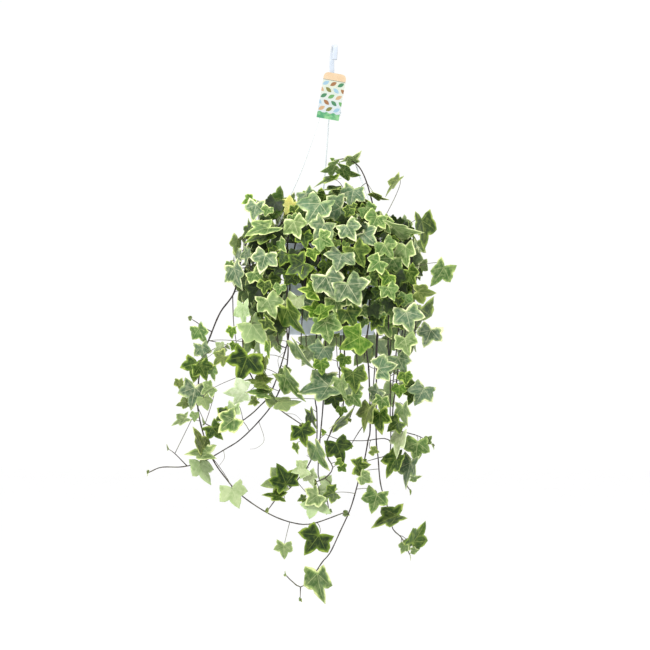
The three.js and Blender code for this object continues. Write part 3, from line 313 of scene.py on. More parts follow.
RIGHT_LEAVES = [
    (-4, -511, -52, -517, 5, 48, BLUE), (4, -671, -16, -678, 0, 20, DARK),
    (71, -485, 99, -479, 10, 0, BLUE), (100, -469, 111, -495, 0, 25, BLUE, 1),
    (32, -491, 36, -522, 10, 0, DARK), (110, -493, 112, -511, 0, 0, LIME),
    (20, -468, 14, -485, 0, 0, LIME, 1), (14, -504, 19, -533, 0, 58, PALE),
    (15, -544, 14, -558, 0, 0, LIME), (3, -525, 9, -549, 0, 0, FOREST, 1),
    (8, -568, 38, -547, 0, 75, DARK), (-31, -552, -24, -579, 0, 68, FOREST),
    (30, -525, 45, -543, 0, 10, GREEN), (56, -546, 43, -580, 0, 60, OLIVE),
    (70, -519, 56, -535, 0, 20, BLUE, 1), (72, -552, 72, -585, 0, 40, DARK),
    (76, -531, 72, -552, 0, 30, GREEN), (102, -512, 100, -530, 0, 20, LIME),
    (116, -506, 122, -518, 0, 0, DARK), (138, -515, 125, -542, 0, -10, BLUE),
    (125, -518, 113, -540, 0, 30, DARK, 1), (100, -565, 82, -579, 0, 20, DARK),
    (107, -543, 110, -573, 0, 55, PALE), (104, -584, 92, -619, 0, 62, BACKLIT),
    (129, -596, 125, -626, 5, 10, GREEN), (142, -594, 151, -586, 0, 20, GREEN),
    (97, -619, 79, -648, 0, 50, DARK), (98, -616, 107, -607, 0, 30, DARK, 1),
    (119, -626, 106, -665, 0, 60, BLUE), (120, -649, 136, -648, 0, 60, GREEN),
    (-23, -602, -8, -641, 0, 66, GREEN), (7, -597, 19, -627, 0, 0, FOREST),
    (14, -624, 4, -629, 0, 0, LIME), (14, -631, 22, -640, 0, 0, LIME),
    (37, -631, 60, -630, 0, 20, DARK), (45, -646, 62, -656, 0, 10, PALE),
    (68, -674, 60, -703, 5, 0, GREEN), (60, -607, 72, -611, 0, 20, OLIVE),
    (98, -706, 57, -719, 0, 60, DARK), (-19, -735, -41, -765, 5, 0, FOREST),
    (-71, -750, -72, -772, 0, 20, PALE), (-21, -793, -16, -840, 0, 52, GREEN),
    (123, -746, 145, -717, 0, 52, LIME), (110, -751, 104, -764, 0, 20, PALE),
    (121, -759, 132, -759, 0, 30, PALE), (111, -751, 125, -748, 0, 0, PALE, 1),
]

# Tendrils and bare side shoots as points (x, z) of the front view, from a stem outwards
TENDRILS = [
    [(-160, -610), (-161, -620), (-171, -634)],
    [(-173, -571), (-166, -561), (-153, -557), (-138, -562)],
    [(-85, -434), (-82, -445), (-72, -455)],
    [(-131, -513), (-113, -503), (-97, -496), (-80, -494)],
    [(-95, -480), (-80, -470), (-68, -458)],
    [(-66, -544), (-55, -554), (-44, -564)],
    [(-48, -612), (-38, -615), (-30, -615)],
    [(-188, -478), (-178, -462), (-165, -452), (-152, -448)],
    [(-96, -575), (-101, -592), (-112, -604), (-122, -606)],
]

# Lobe tips and the hollows between them up one side of a leaf, as (degrees from the tip, reach)
# for a tip reach of 1, alternately and ending at the notch of the stalk
FIVE_LOBES = [(0, 1), (30, 0.55), (60, 0.82), (92, 0.52), (124, 0.60), (180, 0.06)]
THREE_LOBES = [(0, 1), (32, 0.57), (63, 0.77), (93, 0.50), (122, 0.50), (180, 0.06)]
YOUNG_LEAF = [(0, 1), (26, 0.62), (55, 0.54), (86, 0.44), (118, 0.40), (180, 0.06)]
LOBE_SIDES = [(0.25, 0.020), (0.52, 0.046), (0.82, 0.036)]  # how far along, how far it bulges
RINGS = [0.30, 0.56, 0.78, 0.92, 1.0]
VEINS = [(0, 0.013, 1.0), (60, 0.010, 0.82), (120, 0.008, 0.5)]  # degrees, half width, reach

# The frame's own, plainer leaves: the corners of their outlines, and how they are placed
CAD_FIVE = [(0, 1), (30, 0.54), (59, 0.8), (90, 0.52), (122, 0.48)]
CAD_THREE = [(0, 1), (33, 0.56), (64, 0.74), (120, 0.43)]
CAD_BUD = [(0, 1), (50, 0.5), (120, 0.4)]
CAD_BLADE = 0.7
SAME_PLACE = 0.09
SHIFTS = [0, -6, 6, -12, 12, -18, 18, 26]
CROWN_TURNS = [(120, 1.06), (-120, 0.98)]
CROWN_HALF = 100
LEAST_COPY = 29
TRAILING = [(0.72, 1, 36), (0.95, -1, 31)]

# Leaves that fill the plant: the heights they come at, their reaches, and what they keep clear of
DOME_HEIGHTS = (-345, -222)
DOME_REACHES = (20, 34)
MIDDLE_HEIGHTS = (-290, -238)
MIDDLE_REACHES = (24, 38)
CURTAIN_HEIGHTS = (-400, -295)
CURTAIN_REACHES = (18, 32)
FRONT_HEIGHTS = (-425, -215)
TRAILING_REACHES = (20, 33)
TRAILING_SPACING = 24
LOWEST_TRAILING = -385  # below it the plant is open, and all its leaves are measured
FARTHEST_STEM = 75
RIM_ROOM = 6
POT_ROOM = 10
STRAND_ROOM = 4
VIEW_ROOM = 7  # to both sides of the left strand, which stays in view
LEAF_ROOM = 0.42  # between two leaves' middles, of their reaches

# The card's print: small leaves in staggered rows, in these sRGB colours by turns
PRINT_ROW = 9.6
PRINT_CELL = 11.4
PRINT_TURN = 35  # of each leaf, to the right and to the left by rows
PRINT_LEAF = (5.6, 2.8)  # half length and half width
PRINT_COLOURS = [
    (112, 176, 104), (214, 176, 132), (134, 134, 60), (166, 204, 224), (168, 116, 70), (72, 140, 96),
]

# Studio
CAMERA_PLACE = (-0.01435, -12.0, -0.41985)
LENS = 440.5
AIM = Vector((0, 0, -0.45))
FLOOR_LEVEL = -1.0
FLOOR_HALF = 20
DAYLIGHT = 1.02


# Curves and frames


def sin_cos(degrees):
    a = math.radians(degrees)
    return math.sin(a), math.cos(a)


def unit(vector):
    return vector / np.linalg.norm(vector)


def turned(vector, axis, angle):
    """vector turned about a unit axis by an angle in degrees."""
    sin, cos = sin_cos(angle)
    return vector * cos + np.cross(axis, vector) * sin + axis * np.dot(axis, vector) * (1 - cos)


def round_pot(azimuth, radius=1.0, z=0.0):
    """A place round the pot's axis, or with the azimuth alone the level way out from it."""
    sin, cos = sin_cos(azimuth)
    return np.array([radius * sin, -radius * cos, z])


def at_height(z, heights, values):
    """The value at a height, between those given for falling heights."""
    return np.interp(z, heights[::-1], values[::-1])


def outline_at(z):
    """Half width and half depth of the plant at a height."""
    return [at_height(z, OUTLINE_HEIGHTS, sizes) for sizes in (OUTLINE_WIDTHS, OUTLINE_DEPTHS)]


def front_depth(x, z):
    """How far the plant's front stands out from the pot's axis at a place of the front view."""
    width, depth = outline_at(z)
    side = min(abs(x) / width, 0.98)
    return depth * math.sqrt(1 - side * side)


def curve_through(points, step=STEM_STEP):
    """Points about a step apart on a smooth curve through the given ones."""
    p = [np.array(q, float) for q in points]
    p = [2 * p[0] - p[1], *p, 2 * p[-1] - p[-2]]
    fine = []
    for a, b, c, d in zip(p, p[1:], p[2:], p[3:]):
        start, end = (c - a) / 2, (d - b) / 2
        for t in np.arange(CURVE_PARTS) / CURVE_PARTS:
            cubic = (2 * b - 2 * c + start + end) * t**3
            fine.append(cubic + (3 * c - 3 * b - 2 * start - end) * t**2 + start * t + b)
    fine = np.array([*fine, p[-2]])
    along = np.r_[0, np.cumsum(np.linalg.norm(np.diff(fine, axis=0), axis=1))]
    stations = np.linspace(0, along[-1], max(3, round(along[-1] / step) + 1))
    return np.stack([np.interp(stations, along, fine[:, k]) for k in range(3)], axis=1)


def is_within_reach(place, spare=0.0):
    """Whether a place is inside the plant's outline of the front view by a spare width."""
    x, _, z = place
    left = at_height(z, REACH_HEIGHTS, REACH_LEFT)
    right = at_height(z, REACH_HEIGHTS, REACH_RIGHT)
    return z <= REACH_HEIGHTS[0] and left + spare < x < right - spare


def nearest_on(run, place, outside_pot=True):
    """(distance, index) of the point of a run nearest to a place."""
    away = np.linalg.norm(run - place, axis=1)
    if outside_pot:
        beside = (run[:, 2] < RIM_TOP) & (run[:, 2] > SAUCER_BASE)
        in_pot = beside & (np.hypot(run[:, 0], run[:, 1]) < RIM_CROSSING)
        away = np.where(in_pot, np.inf, away)
    index = int(np.argmin(away))
    return float(away[index]), index


# Meshes


def put(name, data):
    made = bpy.data.objects.new(name, data)
    bpy.context.scene.collection.objects.link(made)
    return made


class Gathered:
    """Corners and faces gathered into one mesh, with what its materials read at each corner."""

    FIELDS = {"leaf_x": 0.0, "leaf_y": 0.0, "edge": 1.0, "under": 0.0, "seed": 0.0}
    COLOURS = ("body_tint", "margin_tint")

    def __init__(self):
        self.corners = []
        self.faces = []
        self.materials = []
        self.count = 0
        self.fields = {name: [] for name in [*self.FIELDS, *self.COLOURS]}

    def add(self, corners, faces, material=0, **fields):
        n = len(corners)
        self.corners.append(np.asarray(corners, float))
        self.faces += [[c + self.count for c in face] for face in faces]
        self.materials += [material] * len(faces)
        for name, default in self.FIELDS.items():
            self.fields[name].append(np.broadcast_to(fields.get(name, default), (n,)))
        for name in self.COLOURS:
            self.fields[name].append(np.broadcast_to(fields.get(name, (0.5, 0.5, 0.5)), (n, 3)))
        self.count += n

    def piece(self, name, slot, node, *materials, with_fields=False):
        """The mesh as a piece of the scene, in the place of a node of the frame."""
        mesh = bpy.data.meshes.new(name)
        corners = (np.concatenate(self.corners) + POT_AXIS) * MM
        mesh.from_pydata(corners.tolist(), [], self.faces)
        for material in materials:
            mesh.materials.append(material)
        mesh.polygons.foreach_set("material_index", self.materials)
        mesh.polygons.foreach_set("use_smooth", [True] * len(self.faces))
        if with_fields:
            self.write_fields(mesh)
        mesh.update()
        made = put(name, mesh)
        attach(made, "root")
        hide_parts(node)
        return made

    def write_fields(self, mesh):
        for name in self.FIELDS:
            layer = mesh.attributes.new(name, "FLOAT", "POINT")
            layer.data.foreach_set("value", np.concatenate(self.fields[name]))
        for name in self.COLOURS:
            rgb = np.concatenate(self.fields[name])
            layer = mesh.attributes.new(name, "FLOAT_COLOR", "POINT")
            layer.data.foreach_set("color", np.c_[rgb, np.ones(len(rgb))].ravel())


def carried_frames(points):
    """(ahead, side, up) at each point of a path, carried along it without twist."""
    ahead = np.gradient(points, axis=0)
    ahead /= np.linalg.norm(ahead, axis=1)[:, None]
    side = unit(np.cross(ahead[0], UP if abs(ahead[0][2]) < 0.9 else BACK))
    frames = []
    for direction in ahead:
        side = unit(side - direction * np.dot(side, direction))
        frames.append((direction, side, np.cross(side, direction)))
    return frames


def grid_faces(rings, sides):
    """Quads between neighbouring rings of corners."""
    faces = []
    for i in range(rings - 1):
        for k in range(sides):
            a, b = i * sides + k, i * sides + (k + 1) % sides
            faces.append([a, b, b + sides, a + sides])
    return faces


def swept(points, section, frames=None):
    """Corners and faces of a closed sweep. section(i) gives the (side, up) offsets at point i."""
    corners = []
    for i, (centre, (_, side, up)) in enumerate(zip(points, frames or carried_frames(points))):
        corners += [centre + side * x + up * y for x, y in section(i)]
    sides = len(section(0))
    last = len(corners) - sides
    ends = [list(range(sides))[::-1], [last + k for k in range(sides)]]
    return corners, grid_faces(len(points), sides) + ends


def tube(points, radii, sides):
    angles = [2 * math.pi * k / sides for k in range(sides)]
    circle = [(math.cos(a), math.sin(a)) for a in angles]
    return swept(points, lambda i: [(radii[i] * x, radii[i] * y) for x, y in circle])


def lathed(profile, steps):
    """Corners and faces of a profile of (radius, z) turned about the axis, with its poles closed."""
    corners = []
    for r, z in profile:
        corners += [round_pot(360 * k / steps, max(r, 0.01), z) for k in range(steps)]
    return corners, grid_faces(len(profile), steps)


# Materials


def linear(*colour):
    """sRGB in 0 to 255 as linear RGB."""
    parts = [c / 255 for c in colour]
    return tuple(c / 12.92 if c < 0.04045 else ((c + 0.055) / 1.055) ** 2.4 for c in parts)


class Value:
    """What an output of a node gives. Arithmetic with it adds further nodes."""

    def __init__(self, shader, output):
        self.shader = shader
        self.output = output

    def __add__(self, other):
        return self.shader.calc("ADD", self, other)

    def __sub__(self, other):
        return self.shader.calc("SUBTRACT", self, other)

    def __rsub__(self, other):
        return self.shader.calc("SUBTRACT", other, self)

    def __mul__(self, other):
        return self.shader.calc("MULTIPLY", self, other)

    def __abs__(self):
        return self.shader.calc("ABSOLUTE", self)


class Shader:
    """A node material, with short ways to add to it."""

    def __init__(self, name, roughness, **settings):
        self.material = bpy.data.materials.new(name)
        self.material.use_nodes = True
        self.tree = self.material.node_tree
        self.surface = self.tree.nodes["Principled BSDF"]
        self.set(self.surface, {"Roughness": roughness, **settings})

    def set(self, node, inputs):
        for name, value in inputs.items():
            socket = node.inputs[name]
            if isinstance(value, Value):
                self.tree.links.new(value.output, socket)
            elif socket.type == "RGBA":
                socket.default_value = (*value, 1)
            else:
                socket.default_value = value

    def add(self, kind, inputs, output=0, **settings):
        node = self.tree.nodes.new("ShaderNode" + kind)
        for name, value in settings.items():
            setattr(node, name, value)
        self.set(node, inputs)
        return Value(self, node.outputs[output])

    def calc(self, operation, *values):
        return self.add("Math", dict(enumerate(values)), operation=operation)

    def rise(self, value, low, high, start=0.0, end=1.0):
        inputs = {"Value": value, "From Min": low, "From Max": high, "To Min": start, "To Max": end}
        return self.add("MapRange", inputs, interpolation_type="SMOOTHSTEP")

    def fall(self, value, low, high):
        return self.rise(value, low, high, 1.0, 0.0)

    def mix(self, factor, a, b, blend="MIX"):
        inputs = {0: factor, 6: a, 7: b}
        return self.add("Mix", inputs, 2, data_type="RGBA", blend_type=blend)

    def read(self, name, output="Fac"):
        return self.add("Attribute", {}, output, attribute_name=name)

    def place(self):
        return self.add("TexCoord", {}, "Object")

    def noise(self, scale, detail=3.0, vector=None):
        inputs = {"Scale": scale, "Detail": detail, "Vector": vector or self.place()}
        return self.add("TexNoise", inputs, "Fac")

    def bump(self, height, strength, distance):
        inputs = {"Height": height, "Strength": strength, "Distance": distance}
        self.set(self.surface, {"Normal": self.add("Bump", inputs)})

    def colour(self, value):
        self.set(self.surface, {"Base Color": value})
        return self.material


def vein_lines(shader, x, y):
    """1 on the main veins, which spread from the stalk, fading to 0 beside and at their ends."""
    total = None
    for angle, half, reach in VEINS:
        sin, cos = sin_cos(angle)
        off = abs(x) * cos - y * sin
        out = abs(x) * sin + y * cos
        line = shader.fall(abs(off), 0.4 * half, 1.6 * half) * shader.rise(out, 0.0, 0.04)
        line = line * shader.fall(out, 0.45 * reach, reach)
        total = line if total is None else shader.calc("MAXIMUM", total, line)
    return total


def leaf_material():
    shader = Shader("ivy_leaf", 0.5, **{"Specular IOR Level": 0.2})
    x, y, seed, edge = [shader.read(name) for name in ("leaf_x", "leaf_y", "seed", "edge")]
    body, margin = shader.read("body_tint", "Color"), shader.read("margin_tint", "Color")
    place = shader.add("CombineXYZ", {0: x, 1: y, 2: seed * 37.0})
    patches = shader.rise(shader.noise(1.9, 5.0, place), 0.42, 0.58)
    flecks = shader.rise(shader.noise(6.0, 5.0, place), 0.46, 0.64)
    dark = shader.mix(1.0, body, (0.62, 0.70, 0.55), "MULTIPLY")
    blade = shader.mix(patches, body, dark)
    blade = shader.mix(flecks * 0.55, blade, shader.mix(0.24, body, margin))
    main = vein_lines(shader, x, y)
    fine = shader.rise(shader.calc("SINE", (y - abs(x) * 0.9) * 34.0), 0.86, 1.0)
    blade = shader.mix(shader.calc("MAXIMUM", main * 0.36, fine * 0.10), blade, margin)
    uneven = (shader.noise(3.2, 4.0, place) - 0.5) * 0.30
    from_edge = edge - uneven - (0.6 - seed) * 0.05
    green = shader.mix(1.0, margin, (0.66, 0.84, 0.52), "MULTIPLY")
    blade = shader.mix(shader.rise(from_edge, 0.0, 0.13, 0.5, 0.0), blade, green)
    blade = shader.mix(shader.rise(from_edge, 0.0, 0.034, 0.85, 0.0), blade, margin)
    blade = shader.mix(shader.read("under"), blade, shader.mix(0.3, blade, (0.42, 0.54, 0.27)))
    grain = shader.noise(14.0, 3.0, place)
    shader.bump(grain * 0.35 - main, 0.35, 0.0006)
    shader.set(shader.surface, {"Roughness": shader.rise(grain, 0.3, 0.7, 0.36, 0.54)})
    return shader.colour(blade)


def stem_material():
    shader = Shader("ivy_stem", 0.6)
    mottle = shader.rise(shader.noise(70.0), 0.38, 0.62)
    brown = shader.mix(mottle, linear(26, 20, 22), linear(54, 42, 38))
    green = shader.mix(mottle, linear(78, 66, 50), linear(104, 108, 62))
    shader.bump(shader.noise(420.0), 0.3, 0.0004)
    return shader.colour(shader.mix(shader.read("seed"), brown, green))


def plastic_material(name, light, dark, roughness, grain):
    """Moulded plastic with faint cloudiness, a fine grain and fine scuffs."""
    shader = Shader(name, roughness)
    cloud = shader.rise(shader.noise(9.0, 4.0), 0.35, 0.65)
    tone = shader.mix(cloud, linear(*light), linear(*dark))
    stretched = shader.add("Mapping", {"Vector": shader.place(), "Scale": (9.0, 9.0, 60.0)})
    scuffs = shader.rise(shader.noise(6.0, 5.0, stretched), 0.62, 0.75)
    tone = shader.mix(scuffs * 0.12, tone, linear(150, 152, 146))
    shader.bump(shader.noise(grain, 2.0), 0.12, 0.0003)
    shine = shader.rise(cloud, 0, 1, roughness - 0.05, roughness + 0.07)
    shader.set(shader.surface, {"Roughness": shine})
    return shader.colour(tone)


def soil_material():
    shader = Shader("potting_mix", 0.95)
    grains = shader.rise(shader.noise(260.0, 5.0), 0.35, 0.65)
    tone = shader.mix(grains, linear(36, 27, 20), linear(84, 66, 48))
    specks = shader.rise(shader.noise(520.0, 2.0), 0.70, 0.74)
    tone = shader.mix(specks, tone, linear(196, 190, 176))
    shader.bump(grains, 0.8, 0.0015)
    return shader.colour(tone)


def printed_leaves(shader, x, z):
    """(1 inside a pointed leaf, the number of its colour) on the card."""
    row = shader.calc("FLOOR", shader.calc("DIVIDE", z, PRINT_ROW) + 0.5)
    odd = shader.calc("PINGPONG", row, 1.0)
    shifted = x + odd * (PRINT_CELL / 2)
    column = shader.calc("FLOOR", shader.calc("DIVIDE", shifted, PRINT_CELL) + 0.5)
    over = (shifted - column * PRINT_CELL) * (1.0 - odd * 2.0)
    up = z - row * PRINT_ROW
    sin, cos = sin_cos(PRINT_TURN)
    length, width = PRINT_LEAF
    part = shader.calc("DIVIDE", over * cos + up * sin, length)
    outside = abs(up * cos - over * sin) + part * part * width
    inside = shader.fall(outside, width - 0.3, width + 0.3)
    return inside, shader.calc("FLOORED_MODULO", row * 2.0 + column, len(PRINT_COLOURS))


def card_material():
    """A printed card of a plain design: a sand head, rows of small leaves, and a green foot."""
    shader = Shader("tag_card", 0.34)
    low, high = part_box("care_tag")
    inputs = {"Vector": shader.place(), "Location": tuple(-(low + high) / 2)}
    centred = shader.add("Mapping", inputs, vector_type="POINT")
    inputs = {"Vector": centred, "Rotation": (0, math.radians(-TAG_LEAN), 0), "Scale": (1000,) * 3}
    upright = shader.add("Mapping", inputs)
    x, z = [shader.add("SeparateXYZ", {0: upright}, axis) for axis in (0, 2)]
    cloud = shader.noise(110.0, 4.0)
    paper = shader.mix(shader.rise(z, -22.0, 16.0), linear(212, 226, 236), linear(226, 234, 214))
    tone = shader.mix(shader.rise(cloud, 0.4, 0.6, 0.0, 0.5), paper, linear(234, 238, 230))
    inside, number = printed_leaves(shader, x, z)
    for i, colour in enumerate(PRINT_COLOURS):
        chosen = inside * shader.calc("COMPARE", number, i, 0.1)
        tone = shader.mix(chosen, tone, linear(*colour))
    head = shader.mix(cloud, linear(236, 196, 150), linear(246, 224, 190))
    tone = shader.mix(shader.rise(z, 24.6, 25.0), tone, head)
    line = shader.rise(z, 23.8, 24.0) * shader.fall(z, 24.6, 24.8)
    tone = shader.mix(line, tone, linear(134, 130, 112))
    foot = shader.mix(shader.rise(cloud, 0.4, 0.62), linear(84, 168, 116), linear(150, 214, 150))
    edge = z + shader.calc("SINE", x * 0.6) * 1.1
    tone = shader.mix(shader.fall(edge, -25.2, -24.8), tone, foot)
    shader.bump(shader.noise(700.0), 0.08, 0.0002)
    return shader.colour(shader.mix(1.0, tone, (0.6, 0.6, 0.6), "MULTIPLY"))


# Holder


def hook_piece(material):
    """The crook and shank as a strip with rounded edges, and the hub that the strands hang from."""
    seat = HOOK_BORE + HOOK_THICKNESS / 2
    path = [(0, HUB_TOP + 1), (0, HUB_TOP + 5), (0, -39), (0.4 * seat, -32), (0.82 * seat, -24)]
    path.append((seat, -15))
    for k in range(1, 20):
        a = math.pi * k / 20
        path.append((seat * math.cos(a), seat * math.sin(a) - HOOK_BORE))
    path += [(-seat, -14), (-seat - 0.8, -18), (-seat - 1.5, -20.2)]
    sin, cos = sin_cos(90 + HOOK_TWIST)
    points = np.array([[u * cos + HOOK_LEAN * (z - HUB_TOP), u * sin, z] for u, z in path])
    wide = np.array([-sin, cos, 0])
    frames = [(ahead, np.cross(ahead, wide), wide) for ahead, _, _ in carried_frames(points)]
    section = strip_section(HOOK_THICKNESS / 2, HOOK_WIDTH / 2, 0.9)
    r, low, high = HUB_RADIUS, HUB_BOTTOM, HUB_TOP
    hub = [
        (0, low), (r - 2.4, low), (r - 1.6, low + 0.4), (r - 1.3, low + 1.2), (r - 0.5, high - 5.4),
        (r - 0.9, high - 4.9), (r - 0.9, high - 4.3), (r - 0.2, high - 3.8), (r, high - 1.0),
        (r - 0.3, high - 0.3), (r - 1.0, high), (0, high),
    ]
    shape = Gathered()
    shape.add(*swept(points, lambda _: section, frames))
    shape.add(*lathed(hub, 48))
    shape.piece("hook_and_hub", "hanger_plastic", "hanger_hook", material)


def strip_section(half_thick, half_wide, corner):
    """A rectangle with rounded corners."""
    section = []
    for k, (sx, sy) in enumerate([(1, 1), (-1, 1), (-1, -1), (1, -1)]):
        for step in range(4):
            sin, cos = sin_cos(90 * k + 30 * step)
            x = sx * (half_thick - corner) + corner * cos
            section.append((x, sy * (half_wide - corner) + corner * sin))
    return section


def strand_points(azimuth):
    reach = RIM_RADIUS + 1.9
    points = [round_pot(azimuth, 3.6, HUB_BOTTOM - GAP)]
    points += [round_pot(azimuth, part * reach, -drop) for part, drop in STRAND_BOW]
    return curve_through(points, 6)


def strand_piece(name, azimuth, material):
    """A strand, and the foot that grips the rim's lip from outside."""
    shape = Gathered()
    points = strand_points(azimuth)
    ends = np.minimum(np.arange(len(points)), 3) / 3
    shape.add(*tube(points, STRAND_RADIUS * (1.45 - 0.45 * ends), 12))
    shape.add(*foot_shape(azimuth))
    made = shape.piece(name, "hanger_plastic", f"hanger_{name}", material)
    bevel = made.modifiers.new("rounded", "BEVEL")
    bevel.width = 0.3 * MM
    bevel.segments = 2
    bevel.angle_limit = math.radians(50)


def foot_shape(azimuth):
    inner = RIM_RADIUS - RIM_WALL - 2 * GAP
    outer = RIM_RADIUS + 0.8
    under = RIM_TOP - RIM_LIP - GAP
    t = 2 * STRAND_RADIUS
    top, hold = RIM_TOP - 5, 5
    outline = [
        (outer, top), (outer, under), (inner, under), (inner, under + hold),
        (inner - 1.6, under + hold), (inner - 1.6, under - t), (outer + t, under - t), (outer + t, top),
    ]
    beside = round_pot(azimuth + 90, 2, 0)
    corners = [round_pot(azimuth, r, z) + side * beside for side in (-1, 1) for r, z in outline]
    n = len(outline)
    halves = [[0, 1, 6, 7], [1, 2, 5, 6], [2, 3, 4, 5]]
    faces = [half[::-1] for half in halves] + [[c + n for c in half] for half in halves]
    faces += [[k, (k + 1) % n, (k + 1) % n + n, k + n] for k in range(n)]
    return corners, faces


def pot_radius(z):
    t = (z - POT_BASE) / (RIM_TOP - POT_BASE)
    return POT_BASE_RADIUS + (POT_TOP_RADIUS - POT_BASE_RADIUS) * t


def pot_profile():
    top, under, skirt = RIM_TOP, RIM_TOP - RIM_WALL, RIM_TOP - RIM_LIP
    inside = POT_TOP_RADIUS - POT_WALL
    r, lip = RIM_RADIUS, RIM_RADIUS - RIM_WALL
    base, foot = POT_BASE, POT_BASE_RADIUS
    floor, well = POT_BASE + POT_WALL, POT_BASE_RADIUS - POT_WALL
    walls = [base + (under - base) * step for step in (0.15, 0.3, 0.45, 0.6, 0.75, 0.9)]
    return [
        (0, base + 1.6), (foot - 9, base + 1.6), (foot - 8, base), (foot - 1.8, base),
        (foot - 0.5, base + 0.5), (foot, base + 1.8), *[(pot_radius(z), z) for z in walls],
        (pot_radius(under) - 0.1, under - 1.5), (pot_radius(under) + 1.2, under),
        (lip - 0.8, under), (lip, under - 0.8), (lip, skirt + 0.3), (lip + 0.3, skirt),
        (r - 0.3, skirt), (r, skirt + 0.3), (r, top - 1.8), (r - 0.4, top - 0.7),
        (r - 1.5, top - 0.1), (r - 3.2, top), (inside + 1.6, top), (inside + 0.4, top - 0.5),
        (inside, top - 1.8), (inside - 2.8, top - 60), (well, floor + 1.5), (well - 2, floor + 0.6),
        (0, floor + 0.6),
    ]


def saucer_profile():
    r, top, base = SAUCER_RADIUS, SAUCER_TOP, SAUCER_BASE
    lowest = r - 1.6
    inside, floor = r - SAUCER_WALL, base + SAUCER_WALL
    return [
        (0, base + 0.8), (lowest - 14, base + 0.8), (lowest - 13, base), (lowest - 2.4, base),
        (lowest - 0.8, base + 0.7), (lowest, base + 2.4), (r - 0.35, top - 3.4), (r, top - 2.9),
        (r, top - 0.6), (r - 0.4, top - 0.1), (inside + 0.4, top), (inside, top - 0.5),
        (inside - 0.8, floor + 1.6), (inside - 2.0, floor), (0, floor),
    ]


def lathed_piece(name, slot, node, profile, *colours):
    shape = Gathered()
    shape.add(*lathed(profile, TURN_STEPS))
    shape.piece(name, slot, node, plastic_material(slot, *colours))


def soil_piece(material):
    """The soil in the pot, its top loose and crumbly."""
    steps, rings = 72, 22
    floor = POT_BASE + POT_WALL + 1.2
    sides = [(0, floor), (pot_radius(floor) - 4.2, floor), (pot_radius(-360) - 3.2, -360)]
    fractions = [1 - k / rings for k in range(rings)] + [0]
    edge = pot_radius(SOIL_TOP) - 3.2
    corners, _ = lathed(sides, steps)
    for fraction in fractions:
        for k in range(steps):
            place = round_pot(360 * k / steps, max(fraction * edge, 0.01), SOIL_TOP - 3 * fraction)
            rough = math.sin(0.31 * place[0] + 1.3) * math.cos(0.27 * place[1])
            place[2] += 0.9 * (rough + draw(-0.8, 0.8)) * min(1, 4 * (1 - fraction) + 0.2)
            corners.append(place)
    shape = Gathered()
    shape.add(corners, grid_faces(len(sides) + len(fractions), steps))
    for _ in range(SOIL_CRUMBS):
        azimuth, radius = draw(0, 360), edge * math.sqrt(draw(0, 0.9))
        size = draw(0.8, 2.2)
        shape.add(*crumb(round_pot(azimuth, radius, SOIL_TOP - 3 * radius / edge + 0.5), size))
    shape.piece("soil_in_pot", "soil", "potting_soil", material)


def crumb(at, size):
    """An uneven lump of soil."""
    corners = [at + UP * size * draw(0.6, 1.0), at - UP * size * 0.6]
    faces = []
    for k in range(5):
        azimuth, radius = 72 * k + draw(-15, 15), size * draw(0.7, 1.2)
        corners.append(at + round_pot(azimuth, radius, draw(-0.3, 0.3)))
        here, after = 2 + k, 2 + (k + 1) % 5
        faces += [[0, here, after], [1, after, here]]
    return corners, faces


# Stems


def front_points(places, layer):
    """Places (x, z) of the front view in space, in a layer that a third number may change."""
    points = []
    for place in places:
        x, z, inwards = (*place, layer)[:3]
        points.append(np.array([x, -(front_depth(x, z) - STEM_INSET - LAYER * inwards), z]))
    return points


def rise_over_rim(azimuth, root, arch):
    """From the soil up and over the rim."""
    return [
        round_pot(azimuth, root, SOIL_TOP - ROOT_DEPTH),
        round_pot(azimuth, root, SOIL_TOP + 6),
        round_pot(azimuth, root + 5, RIM_TOP + 0.6 * arch),
        round_pot(azimuth, (root + RIM_CROSSING) / 2 + 3, RIM_TOP + arch),
        round_pot(azimuth, RIM_CROSSING, RIM_TOP + 0.5 * arch + 3),
    ]


def fall_behind(azimuth, reach, tip_height, turn):
    points = [round_pot(azimuth + 0.1 * turn, (RIM_CROSSING + reach) / 2 + 3, RIM_TOP - 4)]
    for t in np.linspace(0, 1, 5):
        z = RIM_TOP - 28 + (tip_height - RIM_TOP + 28) * t
        points.append(round_pot(azimuth + turn * (0.2 + 0.8 * t), reach - 12 * t * t, z))
    return points


def all_stems():
    """Each stem's runs by its node's name: the rooted run first, then its twigs."""
    stems = {}
    for name, (azimuth, root, arch, layer, run, *twigs) in FRONT_STEMS.items():
        points = rise_over_rim(azimuth, root, arch) + front_points(run, layer)
        stems[name] = [curve_through(points)]
        for twig in twigs:
            places = front_points(twig, layer)
            _, index = nearest_on(stems[name][0], places[0], outside_pot=False)
            places[0] = stems[name][0][index]
            stems[name].append(curve_through(places))
    for name, points in CROWN_SHOOTS.items():
        stems[name] = [curve_through(points)]
    for i, (azimuth, root, arch, *fall) in enumerate(BACK_STEMS, 1):
        points = rise_over_rim(azimuth, root, arch) + fall_behind(azimuth, *fall)
        stems[f"ivy_back_{i:02d}"] = [curve_through(points)]
    return stems


def add_stem(shape, runs):
    """The runs of one stem as tapered tubes, a little swollen at the joints where leaves come."""
    for order, run in enumerate(runs):
        n = len(run)
        thick, sides = (TWIG_RADIUS, 6) if order else (STEM_RADIUS, 8)
        young = np.linspace(0.05, 0.5, n) if order else np.clip(np.linspace(-0.9, 0.45, n), 0.02, 1)
        joints = 1 + 0.16 * (np.arange(n) % 4 == 0)
        radii = np.linspace(thick, 0.6 * thick, n) * joints
        shape.add(*tube(run, radii, sides), seed=np.repeat(young, sides))


